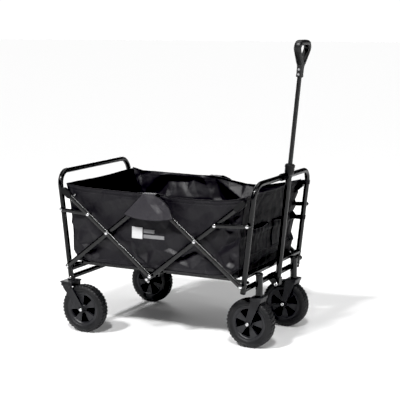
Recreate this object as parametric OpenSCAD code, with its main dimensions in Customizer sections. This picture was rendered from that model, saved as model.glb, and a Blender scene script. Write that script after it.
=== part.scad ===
// Folding camp wagon: two tube end arches joined by side scissors, a fabric tub,
// two fixed rear wheels, two swivel front casters and a telescoping pull handle.
// Units are millimetres. +X points to the handle, +Z is up, the ground is z = 0.

/* [Frame] */
// Half the distance between the lower pivots of the two end frames
half_base = 354; // [300:1:420]
// Height of the lower scissor pivots above the ground
pivot_z = 241; // [200:1:300]
// Height of the scissors from lower to upper pivot
scissor_h = 282; // [220:1:340]
// Outward lean of each end arch, degrees
frame_lean = 6.4; // [0:0.1:10]
// Half distance between the two legs of an arch, tube centres
frame_half_w = 244; // [200:1:280]
// Outside diameter of the frame tube
tube_d = 19; // [16:0.5:25]
// Height of the top tube of an arch, tube centre
arch_top_z = 588; // [500:1:660]
// Bend radius of the arch corners, tube centre
arch_bend_r = 50; // [30:1:80]
// Height of the lower end of the front legs
front_leg_z = 213; // [190:1:230]
// Height of the upper front cross tube
front_cross_hi_z = 272; // [262:1:290]
// Height of the lower front cross tube
front_cross_lo_z = 225; // [215:1:235]
// Height of the upper rear cross tube
rear_cross_hi_z = 230; // [222:1:236]
// Height of the lower rear cross tube
rear_cross_lo_z = 199; // [197:1:205]

/* [Scissor bars] */
// Depth of a scissor bar in the plane of the scissors
bar_w = 18; // [12:0.5:24]
// Thickness of a scissor bar
bar_t = 9.5; // [6:0.5:12]
// Depth of a short link
link_w = 15; // [10:0.5:20]
// Height of the link pivots on the arches
link_z = 451; // [400:1:500]
// Place of the link pivot along the upper bar, as a part of the bar's length
link_part = 0.28; // [0.15:0.01:0.4]
// Radius of a rivet shank
rivet_r = 3; // [2:0.5:5]
// Radius of a rivet head
rivet_head_r = 6; // [4:0.5:9]
// Radius of the tube that joins the two scissors at the bottom
centre_tube_r = 7; // [5:0.5:9]

/* [Wheels] */
// Wheel radius over the tyre
wheel_r = 89; // [70:1:110]
// Width of the tyre
tyre_w = 44; // [30:1:60]
// Radius where the tyre sits on the rim
rim_r = 67; // [50:1:80]
// Width of the wheel hub
hub_w = 50; // [36:1:60]
// Axle bolt radius
axle_r = 5; // [4:0.5:8]
// Distance of the rear axle in front of the rear lower pivot
rear_axle_in = 69; // [40:1:90]
// Half track of the rear wheels
rear_track = 251; // [200:1:270]
// Half track of the casters
front_track = 158; // [120:1:200]
// Place of the caster stem in front of the front lower pivot
stem_out = 19.8; // [15:0.1:30]
// Trail of the caster wheel behind its stem
caster_trail = 31; // [15:1:45]
// Radius of the caster stem
stem_r = 8; // [6:0.5:10]

/* [Handle] */
// Handle pivot in front of the front lower pivot
handle_out = 21.5; // [18:0.5:30]
// Height of the handle pivot
handle_z = 200; // [190:1:205]
// Forward lean of the handle, degrees
handle_lean = 5.7; // [5:0.1:8]
// Length of the handle from pivot to the top of the grip, drawn out
handle_len = 874; // [780:1:950]
// Outer handle tube radius
handle_r = 10.5; // [9:0.5:12]
// Inner handle tube radius
inner_r = 8; // [6:0.5:8]
// Width of the grip
grip_w = 108; // [90:1:130]
// Thickness of the grip
grip_t = 28; // [20:1:36]

/* [Fabric tub] */
// Half width of the tub to the outside of the side panels
tub_half_w = 243; // [220:1:243]
// Thickness of the panels
panel_t = 3; // [2:0.5:5]
// Height of the tub's top edge at its corners
tub_top_z = 547; // [500:1:560]
// Height of the tub's top edge at the middle of the sides
tub_mid_z = 531; // [500:1:540]
// Thickness of the floor boards
board_t = 8; // [4:0.5:10]
// Length of each floor half from its hinge to the middle edge
board_len = 275; // [240:1:278]

/* [Hidden] */
$fn = 72;
e = 0.3;
tr = tube_d / 2;
th0 = atan(scissor_h / half_base);
bar_len = sqrt(half_base * half_base + scissor_h * scissor_h);
top_z = pivot_z + scissor_h;
in0 = frame_half_w + tr + 0.5;
in1 = in0 + bar_t;
out0 = in1 + 0.5;
out1 = out0 + bar_t;
head_t = 2.8;
stem_x = half_base + stem_out;
hand_x = half_base + handle_out;
rear_axle_x = -(half_base - rear_axle_in);
caster_axle_x = stem_x - caster_trail;
arch_x = half_base + (arch_top_z - pivot_z) * tan(frame_lean);
x_max = hand_x + handle_len * sin(handle_lean) + grip_t / 2 * cos(handle_lean);
x_min = -(arch_x + tr);
shift_x = -(x_max + x_min) / 2;
link_fx = half_base + (link_z - pivot_z) * tan(frame_lean);
link_bx = half_base * (1 - link_part);
link_bz = top_z - scissor_h * link_part;
hinge_x = half_base - 42;
hinge_z = pivot_z + 12;
rail_y0 = 222;
rail_y1 = 230;

// ---- helpers ----
module at_frame() translate([shift_x, 0, 0]) children();
module both() { children(); mirror([0, 1, 0]) children(); }
module fore_aft() mirror([1, 0, 0]) children();
module slab(y0, y1) translate([0, y1, 0]) rotate([90, 0, 0]) linear_extrude(y1 - y0) children();
module ycyl(x, z, r, y0, y1) translate([x, y1, z]) rotate([90, 0, 0]) cylinder(r = r, h = y1 - y0);
module arm(p, q, r, y0, y1) {
  // flat bar with round ends, from p to q in the X-Z plane
  d = q - p;
  translate([p[0], 0, p[1]]) rotate([0, -atan2(d[1], d[0]), 0]) slab(y0, y1) {
    circle(r);
    translate([norm(d), 0]) circle(r);
    translate([0, -r]) square([norm(d), 2 * r]);
  }
}
module taper2d(p, q, r1, r2) {
  translate(p) circle(r1);
  translate(q) circle(r2);
  d = q - p;
  l = norm(d);
  b = asin((r1 - r2) / l);
  translate(p) rotate(atan2(d[1], d[0])) polygon([
    [r1 * sin(b), r1 * cos(b)], [l + r2 * sin(b), r2 * cos(b)],
    [l + r2 * sin(b), -r2 * cos(b)], [r1 * sin(b), -r1 * cos(b)]]);
}
module rivet(x, z, y0, y1, hr = rivet_head_r) {
  // shank from y0 to y1 with a domed head beyond y1
  ycyl(x, z, rivet_r, y0, y1 + 0.4);
  translate([x, y1, z]) rotate([-90, 0, 0]) {
    cylinder(r = hr, h = head_t * 0.5);
    translate([0, 0, head_t * 0.5]) cylinder(r1 = hr, r2 = hr * 0.62, h = head_t * 0.5);
  }
}
module lean_front() translate([half_base, 0, pivot_z]) rotate([0, frame_lean, 0]) children();
function loc(z) = (z - pivot_z) / cos(frame_lean);
function leg_x(z) = half_base + (z - pivot_z) * tan(frame_lean);

// ---- end arches, drawn for the front and mirrored for the rear ----
module arch_raw(z0) {
  lt = loc(arch_top_z);
  lean_front() {
    both() translate([0, frame_half_w, loc(z0)]) cylinder(r = tr, h = lt - arch_bend_r - loc(z0));
    both() translate([0, frame_half_w - arch_bend_r, lt - arch_bend_r]) rotate([0, -90, 0])
      rotate_extrude(angle = 90) translate([arch_bend_r, 0]) circle(tr);
    translate([0, -(frame_half_w - arch_bend_r), lt]) rotate([-90, 0, 0])
      cylinder(r = tr, h = 2 * (frame_half_w - arch_bend_r));
  }
}
module leg_cuts() both() lean_front() translate([0, frame_half_w, -90]) cylinder(r = tr, h = 200);
module cross_raw(z, r = tr, y = frame_half_w) ycyl(leg_x(z), z, r, -y, y);
module cross_tube(z) difference() { cross_raw(z); leg_cuts(); }

module rear_arch() color([0.05, 0.05, 0.055]) at_frame() fore_aft() difference() {
  arch_raw(180);
  both() for (p = [[half_base, pivot_z], [link_fx, link_z], [leg_x(196), 196]])
    ycyl(p[0], p[1], rivet_r, frame_half_w - 4, frame_half_w + 20);
}
module rear_cross_tubes() color([0.05, 0.05, 0.055]) at_frame() fore_aft() {
  cross_tube(rear_cross_hi_z);
  cross_tube(rear_cross_lo_z);
}
module front_arch() color([0.05, 0.05, 0.055]) at_frame() difference() {
  arch_raw(front_leg_z);
  both() for (p = [[half_base, pivot_z], [link_fx, link_z]])
    ycyl(p[0], p[1], rivet_r, frame_half_w - 4, frame_half_w + 20);
}
module front_cross_tubes() color([0.05, 0.05, 0.055]) at_frame() {
  cross_tube(front_cross_hi_z);
  cross_tube(front_cross_lo_z);
}

// ---- rivets of the end frames ----
module rear_rivets() color([0.8, 0.8, 0.8]) at_frame() fore_aft() both() {
  rivet(half_base, pivot_z, frame_half_w - 4, in1 + e);
  rivet(link_fx, link_z, frame_half_w - 4, in1 + e);
  ycyl(leg_x(196), 196, rivet_r, frame_half_w - 4, in0);
  ycyl(leg_x(196), 196, 5, in0 - 0.5, in0 + 2);
}
module front_rivets() color([0.8, 0.8, 0.8]) at_frame() both() {
  rivet(half_base, pivot_z, frame_half_w - 4, out1 + e);
  rivet(link_fx, link_z, frame_half_w - 4, out1 + e);
}
module front_spacers() color([0.06, 0.06, 0.065]) at_frame() both() difference() {
  union() {
    ycyl(half_base, pivot_z, 8, in0, in1 + 0.2);
    ycyl(link_fx, link_z, 7, in0, in1 + 0.2);
  }
  ycyl(half_base, pivot_z, rivet_r, in0 - 5, out1);
  ycyl(link_fx, link_z, rivet_r, in0 - 5, out1);
}

// ---- scissor bars: A upper rear to bottom centre, B lower rear to top centre,
// ---- C top centre to lower front, D bottom centre to upper front ----
P_BL = [-half_base, pivot_z];
P_TL = [-half_base, top_z];
P_BC = [0, pivot_z];
P_TC = [0, top_z];
P_BR = [half_base, pivot_z];
P_TR = [half_base, top_z];
X_L = [-half_base / 2, pivot_z + scissor_h / 2];
X_R = [half_base / 2, pivot_z + scissor_h / 2];
bar_dir = [cos(th0), sin(th0)];
D_END = [-22 * cos(th0), pivot_z - 22 * sin(th0)];
module bar(p, q, y0, y1, holes) difference() {
  arm(p, q, bar_w / 2, y0, y1);
  for (h = holes) ycyl(h[0], h[1], rivet_r + 0.05, y0 - 1, y1 + 1);
}
module bars_a() color([0.05, 0.05, 0.055]) at_frame() both() difference() {
  bar(P_TL, P_BC, out0, out1, [X_L]);
  ycyl(0, pivot_z, rivet_r, out0 - 1, out1 + 1);
  ycyl(-link_bx, link_bz, rivet_r, out0 - 1, out1 + 1);
}
module bars_b() color([0.05, 0.05, 0.055]) at_frame() both() difference() {
  bar(P_BL, P_TC, in0, in1, [P_BL]);
  for (h = [X_L, P_TC]) ycyl(h[0], h[1], rivet_r, in0 - 1, in1 + 1);
}
module bars_c() color([0.05, 0.05, 0.055]) at_frame() both() difference() {
  bar(P_TC, P_BR, out0, out1, [P_TC, P_BR]);
  ycyl(X_R[0], X_R[1], rivet_r, out0 - 1, out1 + 1);
}
module bars_d() color([0.05, 0.05, 0.055]) at_frame() both() difference() {
  bar(D_END, P_TR, in0, in1, [P_BC, X_R]);
  ycyl(D_END[0], D_END[1], rivet_r, in0 - 1, in1 + 1);
}
module end_cap(p, dir, y0, y1) difference() {
  arm(p + dir * 3, p - dir * 24, bar_w / 2 + 2, y0 - 1.6, y1 + 1.6);
  arm(p, p - dir * 60, bar_w / 2, y0, y1);
}
module caps_a() color([0.04, 0.04, 0.045]) at_frame() both()
  end_cap(P_TL, [-bar_dir[0], bar_dir[1]], out0, out1);
module caps_d() color([0.04, 0.04, 0.045]) at_frame() both()
  end_cap(P_TR, [bar_dir[0], bar_dir[1]], in0, in1);
module rivets_a() color([0.8, 0.8, 0.8]) at_frame() both() {
  rivet(0, pivot_z, in0 - 6, out1);
  rivet(-link_bx, link_bz, out0, out1);
}
module inner_head(p) ycyl(p[0], p[1], 5.5, in0 - 2.4, in0);
module rivets_b() color([0.8, 0.8, 0.8]) at_frame() both() {
  for (p = [X_L, P_TC]) { rivet(p[0], p[1], in0 - 1, out1 + e); inner_head(p); }
}
module rivets_c() color([0.8, 0.8, 0.8]) at_frame() both() {
  rivet(X_R[0], X_R[1], in0 - 1, out1);
  ycyl(X_R[0], X_R[1], 5.5, in0 - 2.6, in0 - e);
}
module rivets_d() color([0.8, 0.8, 0.8]) at_frame() both() {
  rivet(D_END[0], D_END[1], in0, in1);
}
module centre_tube() color([0.05, 0.05, 0.055]) at_frame() difference() {
  ycyl(0, pivot_z, centre_tube_r, -(in0 - 1.5), in0 - 1.5);
  both() ycyl(0, pivot_z, rivet_r, in0 - 6, in0);
}
module centre_bridges() color([0.05, 0.05, 0.055]) at_frame() both() difference() {
  slab(rail_y0, rail_y1) union() {
    translate([-33, pivot_z + 8]) square([66, 8.5]);
    translate([-13, pivot_z - 9]) square([26, 18]);
  }
  ycyl(0, pivot_z, centre_tube_r, rail_y0 - 1, rail_y1 + 1);
}

// ---- short links between arches and bars ----
module rear_links() color([0.05, 0.05, 0.055]) at_frame() both() difference() {
  arm([-link_fx, link_z], [-link_bx, link_bz], link_w / 2, in0, in1);
  ycyl(-link_fx, link_z, rivet_r + 0.05, in0 - 1, in1 + 1);
}
module front_links() color([0.05, 0.05, 0.055]) at_frame() both() difference() {
  arm([link_fx, link_z], [link_bx, link_bz], link_w / 2, out0, out1);
  ycyl(link_fx, link_z, rivet_r + 0.05, out0 - 1, out1 + 1);
  ycyl(link_bx, link_bz, rivet_r, out0 - 1, out1 + 1);
}
module front_link_rivets() color([0.8, 0.8, 0.8]) at_frame() both()
  rivet(link_bx, link_bz, out0, out1);

// ---- wheels ----
module tyre(x, y) translate([x, y, wheel_r]) rotate([90, 0, 0]) rotate_extrude() polygon([
  [rim_r, -tyre_w / 2 + 2], [rim_r + 6, -tyre_w / 2], [wheel_r - 10, -tyre_w / 2],
  [wheel_r - 4, -tyre_w / 2 + 3], [wheel_r, -tyre_w / 2 + 9],
  [wheel_r, -5], [wheel_r - 2.5, -4.2], [wheel_r - 2.5, 4.2], [wheel_r, 5],
  [wheel_r, tyre_w / 2 - 9], [wheel_r - 4, tyre_w / 2 - 3],
  [wheel_r - 10, tyre_w / 2], [rim_r + 6, tyre_w / 2], [rim_r, tyre_w / 2 - 2]]);
module rim(x, y) translate([x, y, wheel_r]) rotate([90, 0, 0]) difference() {
  rotate_extrude() polygon([
    [axle_r + 0.05, -hub_w / 2], [11, -hub_w / 2], [14, -hub_w / 2 + 4], [18, -18],
    [rim_r - 10, -18], [rim_r - 8, -20], [rim_r - 2, -20], [rim_r, -18],
    [rim_r, 18], [rim_r - 2, 20], [rim_r - 8, 20], [rim_r - 10, 18],
    [18, 18], [14, hub_w / 2 - 4], [11, hub_w / 2], [axle_r + 0.05, hub_w / 2]]);
  for (i = [0 : 4]) rotate(i * 72 + 27) for (s = [0, 1]) mirror([0, 0, s])
    translate([0, 0, 4]) linear_extrude(20) polygon([[21, -5], [rim_r - 11, -17], [rim_r - 9.5, 0], [rim_r - 11, 17], [21, 5]]);
}
module axle(x, y) translate([x, y, wheel_r]) rotate([90, 0, 0]) {
  cylinder(r = axle_r, h = 63, center = true);
  for (s = [0, 1]) mirror([0, 0, s]) translate([0, 0, 31]) {
    cylinder(r = 9, h = 2.5);
    translate([0, 0, 2.5]) cylinder(r1 = 9, r2 = 6, h = 2);
  }
}
module tyre_rear_near() color([0.07, 0.07, 0.075]) at_frame() tyre(rear_axle_x, -rear_track);
module tyre_rear_far() color([0.07, 0.07, 0.075]) at_frame() tyre(rear_axle_x, rear_track);
module tyre_front_near() color([0.07, 0.07, 0.075]) at_frame() tyre(caster_axle_x, -front_track);
module tyre_front_far() color([0.07, 0.07, 0.075]) at_frame() tyre(caster_axle_x, front_track);
module rim_rear_near() color([0.12, 0.12, 0.125]) at_frame() rim(rear_axle_x, -rear_track);
module rim_rear_far() color([0.12, 0.12, 0.125]) at_frame() rim(rear_axle_x, rear_track);
module rim_front_near() color([0.12, 0.12, 0.125]) at_frame() rim(caster_axle_x, -front_track);
module rim_front_far() color([0.12, 0.12, 0.125]) at_frame() rim(caster_axle_x, front_track);

// ---- forks ----
module fork_leg(top, bottom, y0, y1) slab(y0, y1) taper2d(top, bottom, 17, 11);
module rear_forks() color([0.1, 0.1, 0.105]) at_frame() both() {
  fx = -leg_x(184);
  difference() {
    translate([0, rear_track, 0]) union() {
      translate([fx - 22, -31, 171]) cube([46, 62, 12]);
      translate([fx - 24, -33, 183]) cube([50, 66, 5]);
      for (s = [-1, 1]) fork_leg([fx + 2, 171], [rear_axle_x, wheel_r], s > 0 ? 26 : -31, s > 0 ? 31 : -26);
    }
    fore_aft() lean_front() translate([0, frame_half_w, loc(180)]) cylinder(r = tr, h = 60);
    ycyl(rear_axle_x, wheel_r, axle_r, rear_track - 40, rear_track + 40);
  }
}
module rear_axles() color([0.6, 0.6, 0.6]) at_frame() both() axle(rear_axle_x, rear_track);
module caster_fork() difference() {
  union() {
    translate([stem_x - 22, -31, 180.5]) cube([41, 62, 6]);
    translate([stem_x, 0, 186]) cylinder(r = stem_r, h = 70);
    for (s = [-1, 1]) fork_leg([stem_x - 3, 169.5], [caster_axle_x, wheel_r], s > 0 ? 26 : -31, s > 0 ? 31 : -26);
  }
  ycyl(caster_axle_x, wheel_r, axle_r, -40, 40);
}
module caster_fork_near() color([0.1, 0.1, 0.105]) at_frame() translate([0, -front_track, 0]) caster_fork();
module caster_fork_far() color([0.1, 0.1, 0.105]) at_frame() translate([0, front_track, 0]) caster_fork();
module caster_axle_near() color([0.6, 0.6, 0.6]) at_frame() axle(caster_axle_x, -front_track);
module caster_axle_far() color([0.6, 0.6, 0.6]) at_frame() axle(caster_axle_x, front_track);
module stem_sockets() color([0.05, 0.05, 0.055]) at_frame() both() difference() {
  translate([stem_x, front_track, 187]) cylinder(r = 12.5, h = 75);
  translate([stem_x, front_track, 186]) cylinder(r = stem_r + 0.06, h = 77);
  cross_raw(front_cross_lo_z);
  cross_raw(front_cross_hi_z);
}
module socket_caps() color([0.04, 0.04, 0.045]) at_frame() both() difference() {
  translate([stem_x, front_track, 0]) rotate_extrude() polygon([
    [0, 257], [stem_r, 257], [stem_r, 262], [14, 262], [14, 266], [11, 270], [5, 271.5], [0, 271.5]]);
  cross_raw(front_cross_hi_z);
}

// ---- handle ----
module handle_bracket() color([0.05, 0.05, 0.055]) at_frame() difference() {
  union() {
    both() arm([leg_x(front_cross_lo_z), front_cross_lo_z], [hand_x, handle_z], 11.5, 12.7, 15.7);
    intersection() {
      ycyl(leg_x(front_cross_lo_z), front_cross_lo_z, 11, -14, 14);
      translate([leg_x(front_cross_lo_z) - 20, -20, front_cross_lo_z - 20]) cube([19, 40, 40]);
    }
  }
  ycyl(leg_x(front_cross_lo_z), front_cross_lo_z, tr, -20, 20);
  ycyl(hand_x, handle_z, 4, -20, 20);
}
module bracket_pin() color([0.8, 0.8, 0.8]) at_frame() {
  ycyl(hand_x, handle_z, 4, -16, 16);
  both() rivet(hand_x, handle_z, 15, 15.7, 7);
}
module on_handle() translate([hand_x, 0, handle_z]) rotate([0, handle_lean, 0]) children();
module handle_foot() color([0.04, 0.04, 0.045]) at_frame() on_handle() difference() {
  union() {
    rotate([90, 0, 0]) cylinder(r = 10.5, h = 24.8, center = true);
    translate([-10.5, -12.4, 0]) cube([21, 24.8, 24]);
    translate([0, 0, 23]) cylinder(r = handle_r - 1.2, h = 22);
  }
  rotate([90, 0, 0]) cylinder(r = 4.05, h = 40, center = true);
}
module handle_tube() color([0.05, 0.05, 0.055]) at_frame() on_handle() difference() {
  translate([0, 0, 24]) cylinder(r = handle_r, h = 396);
  translate([0, 0, 20]) cylinder(r = handle_r - 1.2, h = 410);
}
module handle_collar() color([0.04, 0.04, 0.045]) at_frame() on_handle() difference() {
  union() {
    translate([0, 0, 402]) cylinder(r1 = 14.5, r2 = 16.5, h = 6);
    translate([0, 0, 408]) cylinder(r = 16.5, h = 18);
    translate([0, 0, 426]) cylinder(r = 18, h = 9);
    translate([0, 0, 435]) cylinder(r1 = 18, r2 = 14, h = 3);
  }
  translate([0, 0, 380]) cylinder(r = handle_r, h = 40);
  translate([0, 0, 410]) cylinder(r = inner_r + 0.06, h = 40);
}
module inner_tube() color([0.05, 0.05, 0.055]) at_frame() on_handle() difference() {
  union() {
    translate([0, 0, 352]) cylinder(r = handle_r - 1.26, h = 14);
    translate([0, 0, 360]) cylinder(r = inner_r, h = 418);
  }
  for (s = [755, 772]) translate([0, 0, s]) rotate([90, 0, 0]) cylinder(r = 2.5, h = 40, center = true);
}
module grip_outline(d) {
  hull() {
    for (s = [-1, 1]) translate([s * (grip_w / 2 - 24), handle_len - 24]) circle(24 - d);
    translate([0, 800]) circle(19 - d);
  }
}
module grip() color([0.045, 0.045, 0.05]) at_frame() on_handle() difference() {
  union() {
    rotate([0, 0, 90]) slab(-grip_t / 2, grip_t / 2) difference() {
      grip_outline(0);
      hull() {
        for (s = [-1, 1]) translate([s * (grip_w / 2 - 27), handle_len - 30]) circle(11);
        translate([0, 811]) circle(8);
      }
    }
    translate([0, 0, 745]) cylinder(r = 12.5, h = 44);
  }
  translate([0, 0, 740]) cylinder(r = inner_r, h = 38);
  for (s = [755, 772]) translate([0, 0, s]) rotate([90, 0, 0]) cylinder(r = 2.5, h = 40, center = true);
}
module grip_screws() color([0.6, 0.6, 0.6]) at_frame() on_handle() for (s = [755, 772])
  translate([0, 0, s]) {
    rotate([90, 0, 0]) cylinder(r = 2.5, h = 25, center = true);
    both() difference() {
      translate([0, 14, 0]) rotate([90, 0, 0]) cylinder(r = 4, h = 2.5);
      cylinder(r = 12.5, h = 20, center = true);
    }
  }
module handle_clip() color([0.04, 0.04, 0.045]) at_frame() difference() {
  union() {
    ycyl(arch_x, arch_top_z, 13, -16, 16);
    both() arm([arch_x, arch_top_z], [arch_x + 22, arch_top_z], 6, handle_r + 0.6, 15);
  }
  ycyl(arch_x, arch_top_z, tr, -20, 20);
  on_handle() translate([0, 0, 300]) cylinder(r = handle_r + 0.4, h = 200);
}

// ---- fabric tub ----
side_outline = [[-364, tub_top_z], [-300, tub_mid_z + 7], [-200, tub_mid_z + 2], [-100, tub_mid_z],
  [100, tub_mid_z], [200, tub_mid_z + 2], [300, tub_mid_z + 7], [364, tub_top_z],
  [345, 460], [337, 344], [337, 299], [300, 272], [225, 262],
  [-225, 262], [-300, 272], [-337, 299], [-337, 344], [-345, 460]];
module side_panel() slab(tub_half_w - panel_t, tub_half_w) polygon(side_outline);
module side_panel_near() color([0.06, 0.055, 0.065]) at_frame() mirror([0, 1, 0]) side_panel();
module side_panel_far() color([0.06, 0.055, 0.065]) at_frame() side_panel();
module end_panel() slab(-(tub_half_w - panel_t - 0.2), tub_half_w - panel_t - 0.2) polygon([
  [364, tub_top_z], [345, 460], [337, 344], [337, 282],
  [337 - panel_t, 282], [337 - panel_t, 344], [345 - panel_t, 460], [364 - panel_t, tub_top_z]]);
module front_panel() color([0.06, 0.055, 0.065]) at_frame() end_panel();
module rear_panel() color([0.06, 0.055, 0.065]) at_frame() fore_aft() end_panel();
module flaps() color([0.055, 0.05, 0.06]) at_frame() both() {
  slab(out1 + 3.6, out1 + 5.6) polygon([[-26, tub_mid_z + 5], [-90, 464], [-62, 451], [-20, 446.5],
    [30, 446.5], [80, 452], [112, 464], [40, tub_mid_z + 5]]);
  translate([-26, tub_half_w - 3, tub_mid_z + 3]) cube([66, out1 + 5.6 - tub_half_w + 3, 2]);
}
module floor_skin() color([0.06, 0.055, 0.065]) at_frame()
  translate([-330, -236, hinge_z + 5 + board_t + 0.3]) cube([660, 472, 1.6]);
module labels() color([0.75, 0.75, 0.76]) at_frame() both() {
  translate([-86, tub_half_w, 368]) cube([44, 1, 42]);
  translate([-38, tub_half_w, 390]) cube([44, 1, 14]);
  translate([-38, tub_half_w, 371]) cube([84, 1, 14]);
}

// ---- folding floor ----
module floor_boards() {
  difference() {
    translate([-(hinge_x + 13), -rail_y1, hinge_z + 5]) cube([13 + board_len, 2 * rail_y1, board_t]);
    translate([-hinge_x + board_len / 2 - 1, -240, hinge_z + 7]) cube([2, 480, board_t]);
  }
}
module floor_rails() {
  both() difference() {
    slab(rail_y0, rail_y1) union() {
      translate([-hinge_x, hinge_z]) circle(4.9);
      translate([-hinge_x, hinge_z - 4.5]) square([board_len - 7.5, 9.5 - 0.1]);
    }
    ycyl(-hinge_x, hinge_z, 2.05, rail_y0 - 1, rail_y1 + 1);
  }
  for (x = [60, 140, 244]) translate([-hinge_x + x, -rail_y0 + 0.1, hinge_z - 3.5]) cube([18, 2 * rail_y0 - 0.2, 8.4]);
}
module rail_bracket() both() {
  difference() {
    union() {
      arm([leg_x(rear_cross_hi_z) - 6, hinge_z - 5], [hinge_x, hinge_z], 5, rail_y1 + 0.3, rail_y1 + 4);
      slab(rail_y1 + 0.3, rail_y1 + 4) translate([leg_x(rear_cross_hi_z) - 10, rear_cross_hi_z + 4]) square([14, 14]);
    }
    cross_raw(rear_cross_hi_z);
    cross_raw(front_cross_hi_z, tr + 0.3);
  }
  ycyl(hinge_x, hinge_z, 2, rail_y0 - 1.5, rail_y1 + 2);
}
module front_rail_bracket() both() {
  difference() {
    union() {
      arm([leg_x(front_cross_lo_z) + 12, hinge_z - 3], [hinge_x, hinge_z], 5, rail_y1 + 0.3, rail_y1 + 4);
      slab(rail_y1 + 0.3, rail_y1 + 4) translate([leg_x(front_cross_lo_z) - 7, front_cross_lo_z]) square([14, hinge_z - front_cross_lo_z]);
    }
    cross_raw(front_cross_lo_z);
    cross_raw(front_cross_hi_z, tr + 0.3);
    leg_cuts();
  }
  ycyl(hinge_x, hinge_z, 2, rail_y0 - 1.5, rail_y1 + 2);
}
module rear_rail_brackets() color([0.05, 0.05, 0.055]) at_frame() fore_aft() rail_bracket();
module front_rail_brackets() color([0.05, 0.05, 0.055]) at_frame() front_rail_bracket();
module floor_boards_rear() color([0.07, 0.065, 0.075]) at_frame() floor_boards();
module floor_rails_rear() color([0.05, 0.05, 0.055]) at_frame() floor_rails();
module floor_boards_front() color([0.07, 0.065, 0.075]) at_frame() fore_aft() floor_boards();
module floor_rails_front() color([0.05, 0.05, 0.055]) at_frame() fore_aft() floor_rails();

rear_arch();
rear_cross_tubes();
rear_forks();
rear_axles();
rear_rivets();
rear_rail_brackets();
rear_panel();
side_panel_near();
side_panel_far();
flaps();
floor_skin();
labels();
tyre_rear_near();
rim_rear_near();
tyre_rear_far();
rim_rear_far();
bars_b();
rivets_b();
bars_a();
caps_a();
centre_tube();
centre_bridges();
rivets_a();
bars_c();
rivets_c();
bars_d();
caps_d();
rivets_d();
rear_links();
front_links();
front_link_rivets();
front_arch();
front_cross_tubes();
stem_sockets();
socket_caps();
handle_bracket();
bracket_pin();
front_rivets();
front_spacers();
front_rail_brackets();
handle_clip();
front_panel();
caster_fork_near();
caster_axle_near();
tyre_front_near();
rim_front_near();
caster_fork_far();
caster_axle_far();
tyre_front_far();
rim_front_far();
handle_tube();
handle_foot();
handle_collar();
inner_tube();
grip();
grip_screws();
floor_boards_rear();
floor_rails_rear();
floor_boards_front();
floor_rails_front();
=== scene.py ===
import math

import bmesh
import bpy
import numpy as np
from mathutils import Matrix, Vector, geometry


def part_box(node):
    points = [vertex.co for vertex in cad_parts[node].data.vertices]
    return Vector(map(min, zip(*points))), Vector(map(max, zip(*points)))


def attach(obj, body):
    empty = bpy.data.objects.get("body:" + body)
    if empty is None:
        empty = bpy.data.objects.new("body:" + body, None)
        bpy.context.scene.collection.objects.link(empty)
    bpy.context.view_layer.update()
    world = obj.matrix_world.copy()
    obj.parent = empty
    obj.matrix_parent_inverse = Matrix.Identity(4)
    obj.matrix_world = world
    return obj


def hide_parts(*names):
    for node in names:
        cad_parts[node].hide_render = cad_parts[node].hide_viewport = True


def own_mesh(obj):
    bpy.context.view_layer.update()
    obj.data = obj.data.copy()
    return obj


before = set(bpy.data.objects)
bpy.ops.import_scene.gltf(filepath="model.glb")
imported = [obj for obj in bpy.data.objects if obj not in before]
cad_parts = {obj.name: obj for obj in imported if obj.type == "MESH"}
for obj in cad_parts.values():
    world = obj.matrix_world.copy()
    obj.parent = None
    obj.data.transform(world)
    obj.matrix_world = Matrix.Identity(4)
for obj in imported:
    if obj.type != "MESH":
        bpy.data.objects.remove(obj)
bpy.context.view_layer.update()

lo_c, hi_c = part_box("centre_tube")
X0 = (lo_c[0] + hi_c[0]) / 2
scene = bpy.context.scene
RAD = math.radians
PI = math.pi

# ---- the sizes of the CAD source, in millimetres, x measured from the middle of the base ----
HB, PZ, SH = 354.0, 241.0, 282.0
LEAN = RAD(6.4)
TOPZ = PZ + SH
IN0, IN1, OUT0, OUT1 = 254.0, 263.5, 264.0, 273.5
ARCH_TOP, ARCH_X = 588.0, 354.0 + 347.0 * math.tan(RAD(6.4))
LINK_Z, LINK_PART = 451.0, 0.28
LFX = HB + (LINK_Z - PZ) * math.tan(LEAN)
LBX, LBZ = HB * (1 - LINK_PART), TOPZ - SH * LINK_PART
TH = math.atan(SH / HB)
WR = 89.0
REAR_AX, REAR_TRACK = -285.0, 251.0
STEM_X, FRONT_TRACK = 373.8, 158.0
FRONT_AX = STEM_X - 31.0
HAND_X, HAND_Z, HAND_LEAN, HAND_LEN = 375.5, 200.0, RAD(5.7), 874.0
P_BL, P_TL, P_BC, P_TC = (-HB, PZ), (-HB, TOPZ), (0.0, PZ), (0.0, TOPZ)
P_BR, P_TR = (HB, PZ), (HB, TOPZ)
X_L, X_R = (-HB / 2, PZ + SH / 2), (HB / 2, PZ + SH / 2)
D_END = (-22 * math.cos(TH), PZ - 22 * math.sin(TH))


def leg_x(z):
    return HB + (z - PZ) * math.tan(LEAN)


# ---------------------------------------------------------------- geometry helpers
class Geo:
    """Vertices in millimetres, faces and, for cloth, flat coordinates in metres."""

    def __init__(self):
        self.v, self.f, self.uv = [], [], []

    def add(self, v, f, uv=None, mirror=False):
        v = np.asarray(v, float)
        if mirror:
            v = v * np.array([1.0, -1.0, 1.0])
            f = [tuple(reversed(q)) for q in f]
        n = len(self.v)
        self.v += v.tolist()
        self.f += [tuple(int(i) + n for i in q) for q in f]
        self.uv += (np.asarray(uv, float).tolist() if uv is not None else [[0.0, 0.0]] * len(v))
        return self

    def both(self, v, f, uv=None):
        return self.add(v, f, uv).add(v, f, uv, mirror=True)


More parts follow.
